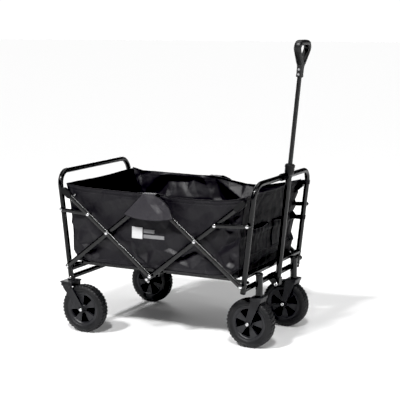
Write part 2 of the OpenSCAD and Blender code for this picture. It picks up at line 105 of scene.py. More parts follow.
def build(name, geo, material, body, sharp=38.0, replaces=(), closed=True, solid=None, bevel=None):
    v = np.array(geo.v, float) / 1000.0
    v[:, 0] += X0
    me = bpy.data.meshes.new(name)
    me.from_pydata(v.tolist(), [], geo.f)
    me.update()
    if closed:
        bm = bmesh.new()
        bm.from_mesh(me)
        bmesh.ops.recalc_face_normals(bm, faces=bm.faces)
        bm.to_mesh(me)
        bm.free()
    layer = me.uv_layers.new(name="UVMap")
    uv = np.array(geo.uv, float)
    idx = np.zeros(len(me.loops), int)
    me.loops.foreach_get("vertex_index", idx)
    layer.data.foreach_set("uv", uv[idx].astype(np.float32).ravel())
    me.polygons.foreach_set("use_smooth", np.ones(len(me.polygons), bool))
    if sharp is not None:
        me.set_sharp_from_angle(angle=RAD(sharp))
    me.update()
    o = bpy.data.objects.new(name, me)
    scene.collection.objects.link(o)
    me.materials.append(material)
    if bevel:
        m = o.modifiers.new("bevel", "BEVEL")
        m.width, m.segments, m.limit_method, m.angle_limit = bevel / 1000, 2, "ANGLE", RAD(40)
    if solid:
        m = o.modifiers.new("thick", "SOLIDIFY")
        m.thickness, m.offset = solid / 1000, 0.0
    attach(o, body)
    if replaces:
        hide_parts(*replaces)
    return o


def grid_faces(nu, nv, wrap_u=False, wrap_v=False):
    """Faces of a grid of points stored as index u * nv + v."""
    out = []
    for i in range(nu if wrap_u else nu - 1):
        for j in range(nv if wrap_v else nv - 1):
            a, b = i, (i + 1) % nu
            c, d = j, (j + 1) % nv
            out.append((a * nv + c, b * nv + c, b * nv + d, a * nv + d))
    return out


def revolve(profile, centre, axis, n=40):
    """Turns (radius, height) points about an axis line: axis is 'y', 'z' or a direction; heights run along it."""
    ax = {"y": Vector((0, 1, 0)), "-y": Vector((0, -1, 0)), "z": Vector((0, 0, 1)), "x": Vector((1, 0, 0))}[axis] if isinstance(axis, str) else Vector(axis)
    ax = Vector(axis).normalized() if ax is None else ax
    side = Vector((1, 0, 0)) if abs(ax.x) < 0.9 else Vector((0, 0, 1))
    side = (side - ax * side.dot(ax)).normalized()
    up = ax.cross(side)
    ax, side, up = (np.array(t) for t in (ax, side, up))
    c = np.array(centre, float)
    v, f, rows = [], [], []
    for r, h in profile:
        if r < 1e-6:
            rows.append([len(v)] * n)
            v.append(c + ax * h)
        else:
            rows.append(list(range(len(v), len(v) + n)))
            for k in range(n):
                a = 2 * PI * k / n
                v.append(c + ax * h + (side * math.cos(a) + up * math.sin(a)) * r)
    for i in range(len(rows) - 1):
        for k in range(n):
            q = [rows[i][k], rows[i][(k + 1) % n], rows[i + 1][(k + 1) % n], rows[i + 1][k]]
            q = list(dict.fromkeys(q))
            if len(q) > 2:
                f.append(tuple(q))
    return v, f


def stadium(p, q, r, n=12):
    """Points round a bar with round ends in the X-Z plane."""
    a0 = math.atan2(q[1] - p[1], q[0] - p[0])
    pts = [(q[0] + r * math.cos(a0 - PI / 2 + PI * k / n), q[1] + r * math.sin(a0 - PI / 2 + PI * k / n)) for k in range(n + 1)]
    pts += [(p[0] + r * math.cos(a0 + PI / 2 + PI * k / n), p[1] + r * math.sin(a0 + PI / 2 + PI * k / n)) for k in range(n + 1)]
    return pts


def taper(p, q, r1, r2, n=12):
    a0 = math.atan2(q[1] - p[1], q[0] - p[0])
    b = math.asin((r1 - r2) / math.hypot(q[0] - p[0], q[1] - p[1]))
    s = PI / 2 - b
    pts = [(q[0] + r2 * math.cos(a0 - s + 2 * s * k / n), q[1] + r2 * math.sin(a0 - s + 2 * s * k / n)) for k in range(n + 1)]
    t = PI - s
    pts += [(p[0] + r1 * math.cos(a0 + s + 2 * t * k / n), p[1] + r1 * math.sin(a0 + s + 2 * t * k / n)) for k in range(n + 1)]
    return pts


def plate(outline, y0, y1, e=2.0, steps=4, recess=None, wide=None):
    """A plate with rounded edges from outline(inset) in the X-Z plane. recess=(inset, depth) sinks the face at y0 when y0 < 0 side, on both faces."""
    rings = []
    for k in range(steps + 1):
        a = PI / 2 * k / steps
        rings.append(((wide or e) * (1 - math.sin(a)), y0 + e * (1 - math.cos(a))))
    back = [(d, y1 - (y - y0)) for d, y in reversed(rings)]
    first = [((wide or e) + 0.7, y0)]
    last = [((wide or e) + 0.7, y1)]
    if recess:
        i, dep = recess
        first = [(i + 1.6, y0 + dep), (i + 0.8, y0 + dep * 0.92), (i, y0 + dep * 0.2), (i - 0.8, y0)] + []
        last = [(i - 0.8, y1), (i, y1 - dep * 0.2), (i + 0.8, y1 - dep * 0.92), (i + 1.6, y1 - dep)]
    rows = first + rings + back + last
    v, n = [], None
    for d, y in rows:
        pts = outline(d)
        n = len(pts)
        v += [(x, y, z) for x, z in pts]
    f = grid_faces(len(rows), n, wrap_v=True)
    f.append(tuple(range(n)))
    f.append(tuple(reversed(range((len(rows) - 1) * n, len(rows) * n))))
    return v, f


def bar(p, q, r, y0, y1, e=4.2):
    return plate(lambda d: stadium(p, q, r - d), y0, y1, e, 8, wide=r * 0.78)


def rbox(lo, hi, r=2.0, seg=3):
    bm = bmesh.new()
    bmesh.ops.create_cube(bm, size=1.0)
    lo, hi = np.array(lo, float), np.array(hi, float)
    for vert in bm.verts:
        vert.co = Vector((lo + hi) / 2 + np.array(vert.co) * (hi - lo))
    bmesh.ops.bevel(bm, geom=list(bm.edges), offset=r, segments=seg, affect="EDGES", profile=0.5)
    bm.verts.ensure_lookup_table()
    v = [tuple(x.co) for x in bm.verts]
    f = [tuple(x.index for x in q.verts) for q in bm.faces]
    bm.free()
    return v, f


def sweep(path, r, n=10, closed=False, ry=None, up=(0, 1, 0), caps=True):
    """A tube along a path; ry gives an oval section, with r across 'up' and ry along it."""
    P = np.array(path, float)
    m = len(P)
    t = np.roll(P, -1, 0) - np.roll(P, 1, 0)
    if not closed:
        t[0], t[-1] = P[1] - P[0], P[-1] - P[-2]
    t /= np.linalg.norm(t, axis=1)[:, None] + 1e-12
    u = np.array(up, float)
    a = np.cross(t, u)
    bad = np.linalg.norm(a, axis=1) < 1e-3
    a[bad] = np.cross(t[bad], np.array([0.3, 0.2, 1.0]))
    a /= np.linalg.norm(a, axis=1)[:, None]
    b = np.cross(a, t)
    ry = r if ry is None else ry
    v = []
    for i in range(m):
        for k in range(n):
            c, s = math.cos(2 * PI * k / n), math.sin(2 * PI * k / n)
            v.append(P[i] + a[i] * (r * c) + b[i] * (ry * s))
    f = grid_faces(m, n, wrap_u=closed, wrap_v=True)
    if caps and not closed:
        f.append(tuple(range(n)))
        f.append(tuple(reversed(range((m - 1) * n, m * n))))
    return v, f


def strap(path, width, thick, across):
    """A flat webbing strap along a path, width along 'across'."""
    P = np.array(path, float)
    t = np.gradient(P, axis=0)
    t /= np.linalg.norm(t, axis=1)[:, None]
    w = np.tile(np.array(across, float), (len(P), 1))
    w -= t * np.sum(w * t, 1)[:, None]
    w /= np.linalg.norm(w, axis=1)[:, None]
    nrm = np.cross(t, w)
    sec = [(-0.5, -0.3), (-0.46, -0.5), (0.46, -0.5), (0.5, -0.3), (0.5, 0.3), (0.46, 0.5), (-0.46, 0.5), (-0.5, 0.3)]
    v = []
    for i in range(len(P)):
        for a, b in sec:
            v.append(P[i] + w[i] * a * width + nrm[i] * b * thick)
    f = grid_faces(len(P), 8, wrap_v=True)
    f.append(tuple(range(8)))
    f.append(tuple(reversed(range((len(P) - 1) * 8, len(P) * 8))))
    return v, f


def spline(pts, n):
    """Smooth points through pts (Catmull-Rom)."""
    P = np.array(pts, float)
    Q = np.vstack([2 * P[0] - P[1], P, 2 * P[-1] - P[-2]])
    out = []
    for i in range(len(P) - 1):
        a, b, c, d = Q[i : i + 4]
        for t in np.linspace(0, 1, n, endpoint=False):
            out.append(0.5 * (2 * b + (c - a) * t + (2 * a - 5 * b + 4 * c - d) * t * t + (3 * b - a - 3 * c + d) * t**3))
    out.append(P[-1])
    return np.array(out)


def dome(x, y, z, r, h, d=-1.0, n=28, lip=0.5):
    """A rivet head: its base circle at (x, y, z), rising along d * Y."""
    prof = [(0.0, -0.4), (r * 0.8, -0.4), (r, 0.0), (r, lip)]
    for k in range(1, 7):
        a = PI / 2 * k / 6
        prof.append((r * math.cos(a) if k < 6 else 0.0, lip + (h - lip) * math.sin(a)))
    return revolve(prof, (x, y, z), (0, d, 0), n)


def vnoise(x, y, seed):
    """Smooth value noise on a unit lattice, the same each run."""
    rng = np.random.default_rng(seed)
    L = rng.random((64, 64)) * 2 - 1
    xi, yi = np.floor(x).astype(int), np.floor(y).astype(int)
    fx, fy = x - xi, y - yi
    fx, fy = fx * fx * (3 - 2 * fx), fy * fy * (3 - 2 * fy)
    a = L[xi % 64, yi % 64]
    b = L[(xi + 1) % 64, yi % 64]
    c = L[xi % 64, (yi + 1) % 64]
    d = L[(xi + 1) % 64, (yi + 1) % 64]
    return (a * (1 - fx) + b * fx) * (1 - fy) + (c * (1 - fx) + d * fx) * fy


def facets(points, U, V, ridges=()):
    """Height over the plane from a few (u, v, height) points joined by flat triangles."""
    pts = [Vector((p[0], p[1])) for p in points]
    res = geometry.delaunay_2d_cdt(pts, [tuple(r) for r in ridges], [], 0, 1e-4)
    co, tris, orig = res[0], res[2], res[3]
    h = np.array([points[o[0]][2] if len(o) else 0.0 for o in orig], float)
    C = np.array([[c.x, c.y] for c in co])
    out = np.zeros_like(U)
    done = np.zeros(U.shape, bool)
    for t in tris:
        a, b, c = (C[i] for i in t)
        det = (b[1] - c[1]) * (a[0] - c[0]) + (c[0] - b[0]) * (a[1] - c[1])
        if abs(det) < 1e-9:
            continue
        l1 = ((b[1] - c[1]) * (U - c[0]) + (c[0] - b[0]) * (V - c[1])) / det
        l2 = ((c[1] - a[1]) * (U - c[0]) + (a[0] - c[0]) * (V - c[1])) / det
        l3 = 1 - l1 - l2
        m = (l1 >= -1e-6) & (l2 >= -1e-6) & (l3 >= -1e-6) & ~done
        out[m] = (l1 * h[t[0]] + l2 * h[t[1]] + l3 * h[t[2]])[m]
        done |= m
    return out


def blur(H, s, rep=2):
    """Softens creases: a few passes of a small kernel."""
    for _ in range(rep * s):
        G = np.pad(H, 1, mode="edge")
        H = (G[1:-1, 1:-1] * 2 + G[:-2, 1:-1] + G[2:, 1:-1] + G[1:-1, :-2] + G[1:-1, 2:]) / 6
    return H


# ---------------------------------------------------------------- materials
def nodes_of(name):
    m = bpy.data.materials.new(name)
    m.use_nodes = True
    nt = m.node_tree
    nt.nodes.clear()
    out = nt.nodes.new("ShaderNodeOutputMaterial")
    b = nt.nodes.new("ShaderNodeBsdfPrincipled")
    nt.links.new(b.outputs[0], out.inputs[0])
    return m, nt, b


def noise_node(nt, coord, scale, detail=3.0, rough=0.55):
    n = nt.nodes.new("ShaderNodeTexNoise")
    n.inputs["Scale"].default_value = scale
    n.inputs["Detail"].default_value = detail
    n.inputs["Roughness"].default_value = rough
    nt.links.new(coord, n.inputs["Vector"])
    return n.outputs["Fac"]


def remap(nt, value, lo, hi, a=0.3, b=0.7):
    n = nt.nodes.new("ShaderNodeMapRange")
    n.inputs["From Min"].default_value, n.inputs["From Max"].default_value = a, b
    n.inputs["To Min"].default_value, n.inputs["To Max"].default_value = lo, hi
    nt.links.new(value, n.inputs["Value"])
    return n.outputs["Result"]


def mixc(nt, fac, c1, c2):
    n = nt.nodes.new("ShaderNodeMix")
    n.data_type = "RGBA"
    nt.links.new(fac, n.inputs["Factor"])
    for s, c in ((n.inputs[6], c1), (n.inputs[7], c2)):
        if isinstance(c, (tuple, list)):
            s.default_value = (*c[:3], 1)
        else:
            nt.links.new(c, s)
    return n.outputs[2]


def bump(nt, height, strength, dist, normal=None):
    n = nt.nodes.new("ShaderNodeBump")
    n.inputs["Strength"].default_value = strength
    n.inputs["Distance"].default_value = dist
    nt.links.new(height, n.inputs["Height"])
    if normal is not None:
        nt.links.new(normal, n.inputs["Normal"])
    return n.outputs["Normal"]


def hard(name, c1, c2, rough, metal=0.0, grain=900.0, gdist=0.00006, gstr=0.5, spot=14.0, rvar=0.06, coat=0.0, spec=0.5, dust=None):
    """Painted metal, plastic or plated steel: slow colour change, fine grain, uneven gloss and a little dust."""
    m, nt, b = nodes_of(name)
    tc = nt.nodes.new("ShaderNodeTexCoord").outputs["Object"]
    slow = remap(nt, noise_node(nt, tc, spot, 4), 0, 1)
    col = mixc(nt, slow, c1, c2)
    if dust:
        speck = remap(nt, noise_node(nt, tc, 420.0, 2), 0, 1, 0.62, 0.78)
        col = mixc(nt, speck, col, dust)
    nt.links.new(col, b.inputs["Base Color"])
    nt.links.new(remap(nt, noise_node(nt, tc, spot * 5, 3), rough - rvar, rough + rvar), b.inputs["Roughness"])
    b.inputs["Metallic"].default_value = metal
    b.inputs["Specular IOR Level"].default_value = spec
    b.inputs["Coat Weight"].default_value = coat
    b.inputs["Coat Roughness"].default_value = 0.2
    nt.links.new(bump(nt, noise_node(nt, tc, grain, 2), gstr, gdist), b.inputs["Normal"])
    return m


def fabric(name, c1, c2, rough=0.46, sheen=0.04, pitch=0.0009, wdist=0.00012, wstr=0.6, spec=0.5):
    """Plain weave in flat cloth coordinates, slow tone change, soft sheen."""
    m, nt, b = nodes_of(name)
    tc = nt.nodes.new("ShaderNodeTexCoord")
    uv, ob = tc.outputs["UV"], tc.outputs["Object"]
    waves = []
    for d in ("X", "Y"):
        w = nt.nodes.new("ShaderNodeTexWave")
        w.wave_type, w.bands_direction, w.wave_profile = "BANDS", d, "SIN"
        w.inputs["Scale"].default_value = 0.314159 / (2 * pitch)
        w.inputs["Distortion"].default_value = 0.6
        w.inputs["Detail"].default_value = 1.0
        w.inputs["Detail Scale"].default_value = 2.0
        nt.links.new(uv, w.inputs["Vector"])
        waves.append(w.outputs["Fac"])
    mul = nt.nodes.new("ShaderNodeMath")
    mul.operation = "ADD"
    nt.links.new(waves[0], mul.inputs[0])
    nt.links.new(waves[1], mul.inputs[1])
    weave = mul.outputs[0]
    slow = remap(nt, noise_node(nt, ob, 9.0, 5), 0, 1, 0.32, 0.68)
    col = mixc(nt, slow, c1, c2)
    thread = remap(nt, weave, 0.0, 1.0, 0.4, 1.7)
    col = mixc(nt, thread, tuple(x * 0.72 for x in c1), col)
    nt.links.new(col, b.inputs["Base Color"])
    nt.links.new(remap(nt, noise_node(nt, ob, 40.0, 3), rough - 0.05, rough + 0.07), b.inputs["Roughness"])
    b.inputs["Specular IOR Level"].default_value = spec
    b.inputs["Sheen Weight"].default_value = sheen
    b.inputs["Sheen Roughness"].default_value = 0.45
    b.inputs["Sheen Tint"].default_value = (0.75, 0.72, 0.8, 1)
    n1 = bump(nt, noise_node(nt, ob, 55.0, 4, 0.6), 0.35, 0.0012)
    nt.links.new(bump(nt, weave, wstr, wdist, n1), b.inputs["Normal"])
    return m


M_FRAME = hard("frame_paint_m", (0.003, 0.003, 0.0033), (0.006, 0.006, 0.0065), 0.22, grain=1400, gdist=0.00002, spec=0.42, dust=(0.02, 0.02, 0.021))
M_BAR = hard("bar_paint_m", (0.003, 0.003, 0.0033), (0.006, 0.006, 0.0065), 0.24, grain=1400, gdist=0.00002, spec=0.60, dust=(0.022, 0.022, 0.022))
M_HANDLE = hard("handle_paint_m", (0.003, 0.003, 0.0033), (0.006, 0.006, 0.0065), 0.20, grain=1400, gdist=0.00002, spec=0.42)
M_BLACK = hard("black_plastic_m", (0.004, 0.004, 0.0045), (0.007, 0.007, 0.0075), 0.42, grain=1800, gdist=0.0001, spec=0.32)
M_GRIP = hard("grip_plastic_m", (0.006, 0.006, 0.0065), (0.010, 0.010, 0.0105), 0.42, grain=2200, gdist=0.0001)
M_RIM = hard("wheel_plastic_m", (0.020, 0.020, 0.022), (0.029, 0.029, 0.0315), 0.36, grain=1500, gdist=0.0001, spec=0.3)
# near-black copy of the wheel plastic for the pocket floors: painted shade standing in for the shadow deep in the
# pockets
M_RIM_PAINTED_SHADE = hard("wheel_recess_painted_shade_m", (0.003, 0.003, 0.0032), (0.005, 0.005, 0.0055), 0.5, grain=1500, gdist=0.0001, spec=0.12)
M_FORK = hard("fork_plastic_m", (0.014, 0.014, 0.0155), (0.021, 0.021, 0.023), 0.38, grain=1600, gdist=0.00012, spec=0.3)
M_TYRE = hard("tyre_m", (0.010, 0.010, 0.011), (0.016, 0.016, 0.017), 0.46, grain=700, gdist=0.00015, spot=22, dust=(0.026, 0.0255, 0.024), spec=0.3)
M_RIVET = hard("rivet_steel_m", (0.86, 0.86, 0.87), (0.74, 0.74, 0.76), 0.20, metal=1.0, grain=1200, gdist=0.00002, rvar=0.05)
M_BOLT = hard("bolt_steel_m", (0.80, 0.80, 0.81), (0.64, 0.64, 0.66), 0.26, metal=1.0, grain=900, gdist=0.00003, rvar=0.06)
M_TUB = fabric("tub_fabric_m", (0.0115, 0.0107, 0.0133), (0.018, 0.0167, 0.0202), rough=0.40, spec=0.34)
M_FLAP = fabric("flap_fabric_m", (0.028, 0.026, 0.031), (0.042, 0.039, 0.046), spec=0.42)
# a darker copy of the tub cloth for the end panels: painted shade, as these panels face away from the key lights
M_TUB_END_SHADED = fabric("tub_end_fabric_painted_shade_m", (0.0048, 0.0045, 0.0054), (0.0080, 0.0076, 0.0090), rough=0.5, sheen=0.0, spec=0.09)
M_HEM = fabric("hem_fabric_m", (0.011, 0.0105, 0.0125), (0.018, 0.0172, 0.020), rough=0.5, pitch=0.0006, spec=0.2)
M_FLOOR_F = fabric("floor_fabric_m", (0.012, 0.0115, 0.0135), (0.019, 0.018, 0.0215), rough=0.55, pitch=0.0012, spec=0.35)
M_LABEL = fabric("label_m", (0.74, 0.74, 0.75), (0.82, 0.82, 0.83), rough=0.6, sheen=0.1, pitch=0.0007)
M_LABEL_G = fabric("label_grey_m", (0.22, 0.22, 0.225), (0.30, 0.30, 0.31), rough=0.6, sheen=0.1, pitch=0.0007)
M_THREAD = hard("thread_m", (0.045, 0.043, 0.05), (0.06, 0.058, 0.066), 0.7, grain=3000, gdist=0.0001)
M_MESH = fabric("mesh_pocket_m", (0.003, 0.003, 0.0033), (0.0055, 0.0055, 0.006), rough=0.5, pitch=0.0022, wdist=0.0005, spec=0.08)

# CAD parts that stay as they are get their materials here
KEEP = {
    "rear_arch": M_FRAME, "rear_cross_tubes": M_FRAME, "front_arch": M_FRAME, "front_cross_tubes": M_FRAME,
    "stem_sockets": M_FRAME, "handle_bracket": M_FRAME, "rear_rail_brackets": M_FRAME, "front_rail_brackets": M_FRAME,
    "centre_tube": M_BAR, "centre_bridges": M_BAR, "floor_rails_rear": M_BAR, "floor_rails_front": M_BAR, "front_spacers": M_BLACK,
    "handle_tube": M_HANDLE, "inner_tube": M_HANDLE, "caps_a": M_BLACK, "caps_d": M_BLACK, "socket_caps": M_BLACK,
    "handle_foot": M_BLACK, "handle_collar": M_BLACK, "handle_clip": M_BLACK, "grip_screws": M_BOLT,
}
BEVELED = {"handle_bracket": 0.7, "rear_rail_brackets": 0.6, "front_rail_brackets": 0.6, "centre_bridges": 0.8, "floor_rails_rear": 0.9,
           "floor_rails_front": 0.9, "caps_a": 1.1, "caps_d": 1.1, "handle_foot": 1.5, "handle_clip": 0.9}
for node, material in KEEP.items():
    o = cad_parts[node]
    o.data.materials.clear()
    o.data.materials.append(material)
    o.data.polygons.foreach_set("use_smooth", np.ones(len(o.data.polygons), bool))
    o.data.set_sharp_from_angle(angle=RAD(35))
    if node in BEVELED:
        m = o.modifiers.new("bevel", "BEVEL")
        m.width, m.segments, m.limit_method, m.angle_limit = BEVELED[node] / 1000, 2, "ANGLE", RAD(50)
        m.harden_normals = False

# ---------------------------------------------------------------- scissor bars, links and rivets
def bars(name, p, q, y0, y1, body, node, r=9.0, e=4.3):
    g = Geo()
    g.both(*bar(p, q, r, y0, y1, e))
    return build(name, g, M_BAR, body, 42, [node])


bars("bar_a", P_TL, P_BC, -OUT1, -OUT0, "scissor_a", "bars_a")
bars("bar_b", P_BL, P_TC, -IN1, -IN0, "scissor_b", "bars_b")
bars("bar_c", P_TC, P_BR, -OUT1, -OUT0, "scissor_c", "bars_c")
bars("bar_d", D_END, P_TR, -IN1, -IN0, "scissor_d", "bars_d")
bars("link_rear", (-LFX, LINK_Z), (-LBX, LBZ), -IN1, -IN0, "links_rear", "rear_links", 7.5, 3.2)
bars("link_front", (LFX, LINK_Z), (LBX, LBZ), -OUT1, -OUT0, "links_front", "front_links", 7.5, 3.2)


def rivets(name, heads, body, nodes, slot="rivet_steel", mat=None):
    g = Geo()
    for x, z, y, r, h in heads:
        g.both(*dome(x, -y, z, r, h))
    return build(name, g, mat or M_RIVET, body, 50, nodes)


def shank(g, x, z, y0, y1, r=3.0):
    g.both(*revolve([(0, y0), (r, y0), (r, y1), (0, y1)], (x, 0, z), "y", 16))


g = Geo()
for x, z, y in ((-HB, PZ, IN1 + 0.3), (-LFX, LINK_Z, IN1 + 0.3)):
    g.both(*dome(x, -y, z, 6.2, 3.0))
    shank(g, x, z, 244, y + 0.2)
g.both(*dome(-leg_x(196), -(IN0 + 0.2), 196, 5.6, 2.6))
shank(g, -leg_x(196), 196, 244, IN0 + 0.3)
build("rivet_set_rear", g, M_RIVET, "rear_frame", 50, ["rear_rivets"])
g = Geo()
for x, z, y in ((HB, PZ, OUT1 + 0.3), (LFX, LINK_Z, OUT1 + 0.3)):
    g.both(*dome(x, -y, z, 6.2, 3.0))
    shank(g, x, z, 244, y + 0.2)
build("rivet_set_front", g, M_RIVET, "front_frame", 50, ["front_rivets"])
g = Geo()
g.both(*dome(0, -OUT1, PZ, 6.4, 3.0))
shank(g, 0, PZ, IN0 - 5, OUT1)
g.both(*dome(-LBX, -OUT1, LBZ, 6.2, 3.0))
build("rivet_set_a", g, M_RIVET, "scissor_a", 50, ["rivets_a"])
g = Geo()
for x, z in (X_L, P_TC):
    g.both(*dome(x, -(OUT1 + 0.3), z, 6.2, 2.8))
    shank(g, x, z, IN0 - 1, OUT1 + 0.4)
    g.both(*dome(x, -IN0, z, 5.4, 2.3, 1.0))
build("rivet_set_b", g, M_RIVET, "scissor_b", 50, ["rivets_b"])
g = Geo()
g.both(*dome(X_R[0], -OUT1, X_R[1], 6.2, 3.0))
shank(g, X_R[0], X_R[1], IN0 - 1, OUT1)
g.both(*dome(X_R[0], -(IN0 - 0.3), X_R[1], 5.4, 2.1, 1.0))
build("rivet_set_c", g, M_RIVET, "scissor_c", 50, ["rivets_c"])
g = Geo()
g.both(*dome(D_END[0], -IN1, D_END[1], 6.0, 2.8))
build("rivet_set_d", g, M_RIVET, "scissor_d", 50, ["rivets_d"])
g = Geo()
g.both(*dome(LBX, -OUT1, LBZ, 6.2, 3.0))
build("rivet_set_link", g, M_RIVET, "links_front", 50, ["front_link_rivets"])
g = Geo()
g.both(*dome(HAND_X, -15.7, HAND_Z, 7.2, 3.2))
g.add(*revolve([(0, -16), (4, -16), (4, 16), (0, 16)], (HAND_X, 0, HAND_Z), "y", 20))
build("pivot_bolt", g, M_RIVET, "front_frame", 50, ["bracket_pin"])

# plugs in the open feet of the front legs, weld beads at the tube joints
g = Geo()
for s in (-1, 1):
    d = Vector((math.sin(LEAN), 0, math.cos(LEAN)))
    c = (leg_x(213), s * 244.0, 213.0)
    g.add(*revolve([(0, -3.0), (7.5, -3.0), (9.2, -2.0), (9.7, -0.8), (9.7, 3.0), (9.4, 3.4), (9.4, 3.5), (0, 3.5)], c, d, 36))
build("leg_plugs", g, M_BLACK, "front_frame", 40)


def weld(cx, y, z, s, r=9.6):
    """A bead where a cross tube meets a leg: a ring on the cross tube, lumpy like a real weld."""
    path = []
    for k in range(48):
        a = 2 * PI * k / 48
        # the leg's surface, seen along the cross tube, is a cylinder: the bead follows it
        off = 9.5 - math.sqrt(max(0.0, 9.5**2 - (9.4 * math.cos(a)) ** 2)) * 0.96
        path.append((cx + r * math.cos(a), y - s * (9.6 - off), z + r * math.sin(a)))
    return sweep(path, 1.7, 8, closed=True, up=(0, 1, 0))


g = Geo()
for z in (230.0, 199.0):
    for s in (-1, 1):
        g.add(*weld(-leg_x(z), s * 244.0, z, s))
build("welds_rear", g, M_FRAME, "rear_frame", 60)
g = Geo()
for z in (272.0, 225.0):
    for s in (-1, 1):
        g.add(*weld(leg_x(z), s * 244.0, z, s))
for s in (-1, 1):
    for z in (272.0, 225.0):
        for dz in (-10.4, 10.4):
            path = [(STEM_X + 12.6 * math.cos(a), s * FRONT_TRACK + 12.6 * math.sin(a), z + dz) for a in np.linspace(PI * 0.62, PI * 1.38, 16)]
            g.add(*sweep(path, 1.5, 8, up=(0, 0, 1)))
build("welds_front", g, M_FRAME, "front_frame", 60)


# ---------------------------------------------------------------- wheels
def tyre_mesh():
    """Pneumatic look: bulged side walls, raised bead line, chunky shoulder lugs and offset centre blocks."""
    prof = [(-19.5, 62.5), (-20.6, 63.3), (-21.3, 65.0), (-20.9, 66.6), (-21.6, 68.4), (-21.9, 70.4), (-22.0, 72.6), (-21.7, 74.0), (-21.0, 74.6), (-20.9, 75.4), (-21.4, 76.2), (-21.2, 77.2),
            (-20.6, 78.0), (-20.2, 79.4), (-19.4, 81.2), (-18.2, 82.9), (-16.6, 84.2), (-14.6, 85.0), (-12.6, 85.5), (-11.4, 85.7), (-10.9, 85.8), (-10.0, 85.9),
            (-8.0, 86.0), (-6.0, 86.1), (-4.0, 86.2), (-2.4, 86.2), (-1.4, 86.2), (-0.6, 86.2)]
    prof = prof + [(-y, r) for y, r in reversed(prof)]
    P = np.array(prof)
    T = np.gradient(P, axis=0)
    N = np.stack([-T[:, 1], T[:, 0]], 1)
    N /= np.linalg.norm(N, axis=1)[:, None]
    N *= np.where((N[:, 1] < 0) & (np.abs(P[:, 0]) < 18), -1, 1)[:, None]
    N = np.where((P[:, :1] < 0), np.stack([-np.abs(N[:, 0]), np.abs(N[:, 1])], 1), np.stack([np.abs(N[:, 0]), np.abs(N[:, 1])], 1))
    lugs, per = 40, 11
    na = lugs * per
    th = np.arange(na) / na * 2 * PI
    v = []
    sm = lambda a, b, x: np.clip((x - a) / (b - a), 0, 1) ** 2 * (3 - 2 * np.clip((x - a) / (b - a), 0, 1))
    for t in th:
        ph = t / (2 * PI) * lugs
        for (y, r), n in zip(P, N):
            s = 1 if y > 0 else 0
            f = (ph + 0.5 * s + abs(y) * 0.012) % 1.0  # shoulder lugs, two sides out of step
            lug = sm(0.06, 0.15, f) * (1 - sm(0.60, 0.69, f))
            ay = abs(y)
            on_side = sm(82.2, 84.4, r) * (1 if ay > 11.2 else 0)
            g2 = (ph + 0.5 + (0.25 if y > 0 else -0.25) + y * 0.03) % 1.0
            blk = sm(0.05, 0.13, g2) * (1 - sm(0.66, 0.75, g2))
            on_mid = 1.0 if (1.2 < ay < 10.2) else 0.0
            h = 2.4 * max(lug * on_side, blk * on_mid)
            yy, rr = y + n[0] * h * (0.75 if ay > 18 else 1), r + n[1] * h
            rr = min(rr, 89.0)
            yy = max(-22.0, min(22.0, yy))
            v.append((rr * math.cos(t), yy, rr * math.sin(t)))
    f = grid_faces(na, len(P), wrap_u=True)
    m = len(P)
    f += [(i * m, i * m + m - 1, ((i + 1) % na) * m + m - 1, ((i + 1) % na) * m) for i in range(na)]
    return np.array(v), f


def rim_mesh(turn):
    """Five wedge spokes over deep pockets, a sloped step and a stepped flange; hub boss in the middle."""
    half_w = 18.6  # half the pocket's angle, degrees
    ang, pocket = [], []
    for k in range(5):
        c = 72 * k + turn
        for a, p in [(-half_w - 1.6, 0), (-half_w - 0.9, 0), (-half_w + 0.0, 1), (-half_w + 0.7, 1)]:
            ang.append(c + a)
            pocket.append(p)
        for a in np.linspace(-half_w + 4, half_w - 4, 6):
            ang.append(c + a)
            pocket.append(1)
        for a, p in [(half_w - 0.7, 1), (half_w, 1), (half_w + 0.9, 0), (half_w + 1.6, 0)]:
            ang.append(c + a)
            pocket.append(p)
        for a in np.linspace(half_w + 5, 72 - half_w - 5, 8):
            ang.append(c + a)
            pocket.append(0)
    rad = [(5.4, -25.0), (9.5, -25.0), (10.6, -24.4), (11.2, -23.2), (12.0, -17.5), (12.6, -16.0), (14.0, -15.2), (14.6, -15.0), (15.0, -15.0), (15.6, -15.0), (16.4, -15.0),
           (26, -15.0), (34, -15.1), (42, -15.2), (47.4, -15.3), (48.2, -15.3), (49.0, -15.3), (49.7, -15.3), (50.4, -15.3), (50.9, -15.5), (51.6, -15.9), (54.6, -18.2), (55.4, -18.7), (56.4, -18.9),
           (60.0, -19.2), (60.9, -19.4), (61.6, -20.0), (63.6, -20.6), (64.6, -20.3), (65.2, -19.2), (65.4, -17.0), (65.4, 0.0)]
    v, dark = [], []
    for a, pk in zip(ang, pocket):
        for r, y in rad:
            deep = 0
            if pk and 15.5 < r < 50.6:
                y = -4.5
            elif pk and (14.9 < r <= 15.5 or 50.6 <= r < 51.0):
                y = -14.6
            t = RAD(a)
            v.append((r * math.cos(t), y, r * math.sin(t)))
    na, nr = len(ang), len(rad)
    f = grid_faces(na, nr, wrap_u=True)
    # faces of the pocket floors, which get the near-black painted-shade material
    pocket_shade_faces = []
    for q in f:
        i, j = q[0] // nr, q[0] % nr
        i2 = q[1] // nr
        pocket_shade_faces.append(1 if (pocket[i] and pocket[i2] and 15.5 < rad[j][0] < 50.3) else 0)
    v = np.array(v)
    back = v * np.array([1, -1, 1])
    fb = [tuple(reversed([i + len(v) for i in q])) for q in f]
    V = np.vstack([v, back])
    # bore
    bore = [(i * nr, ((i + 1) % na) * nr, ((i + 1) % na) * nr + len(v), i * nr + len(v)) for i in range(na)]
    outer = [(i * nr + nr - 1 + len(v), ((i + 1) % na) * nr + nr - 1 + len(v), ((i + 1) % na) * nr + nr - 1, i * nr + nr - 1) for i in range(na)]
    return V, f + fb + bore, pocket_shade_faces + pocket_shade_faces + [0] * (len(bore))


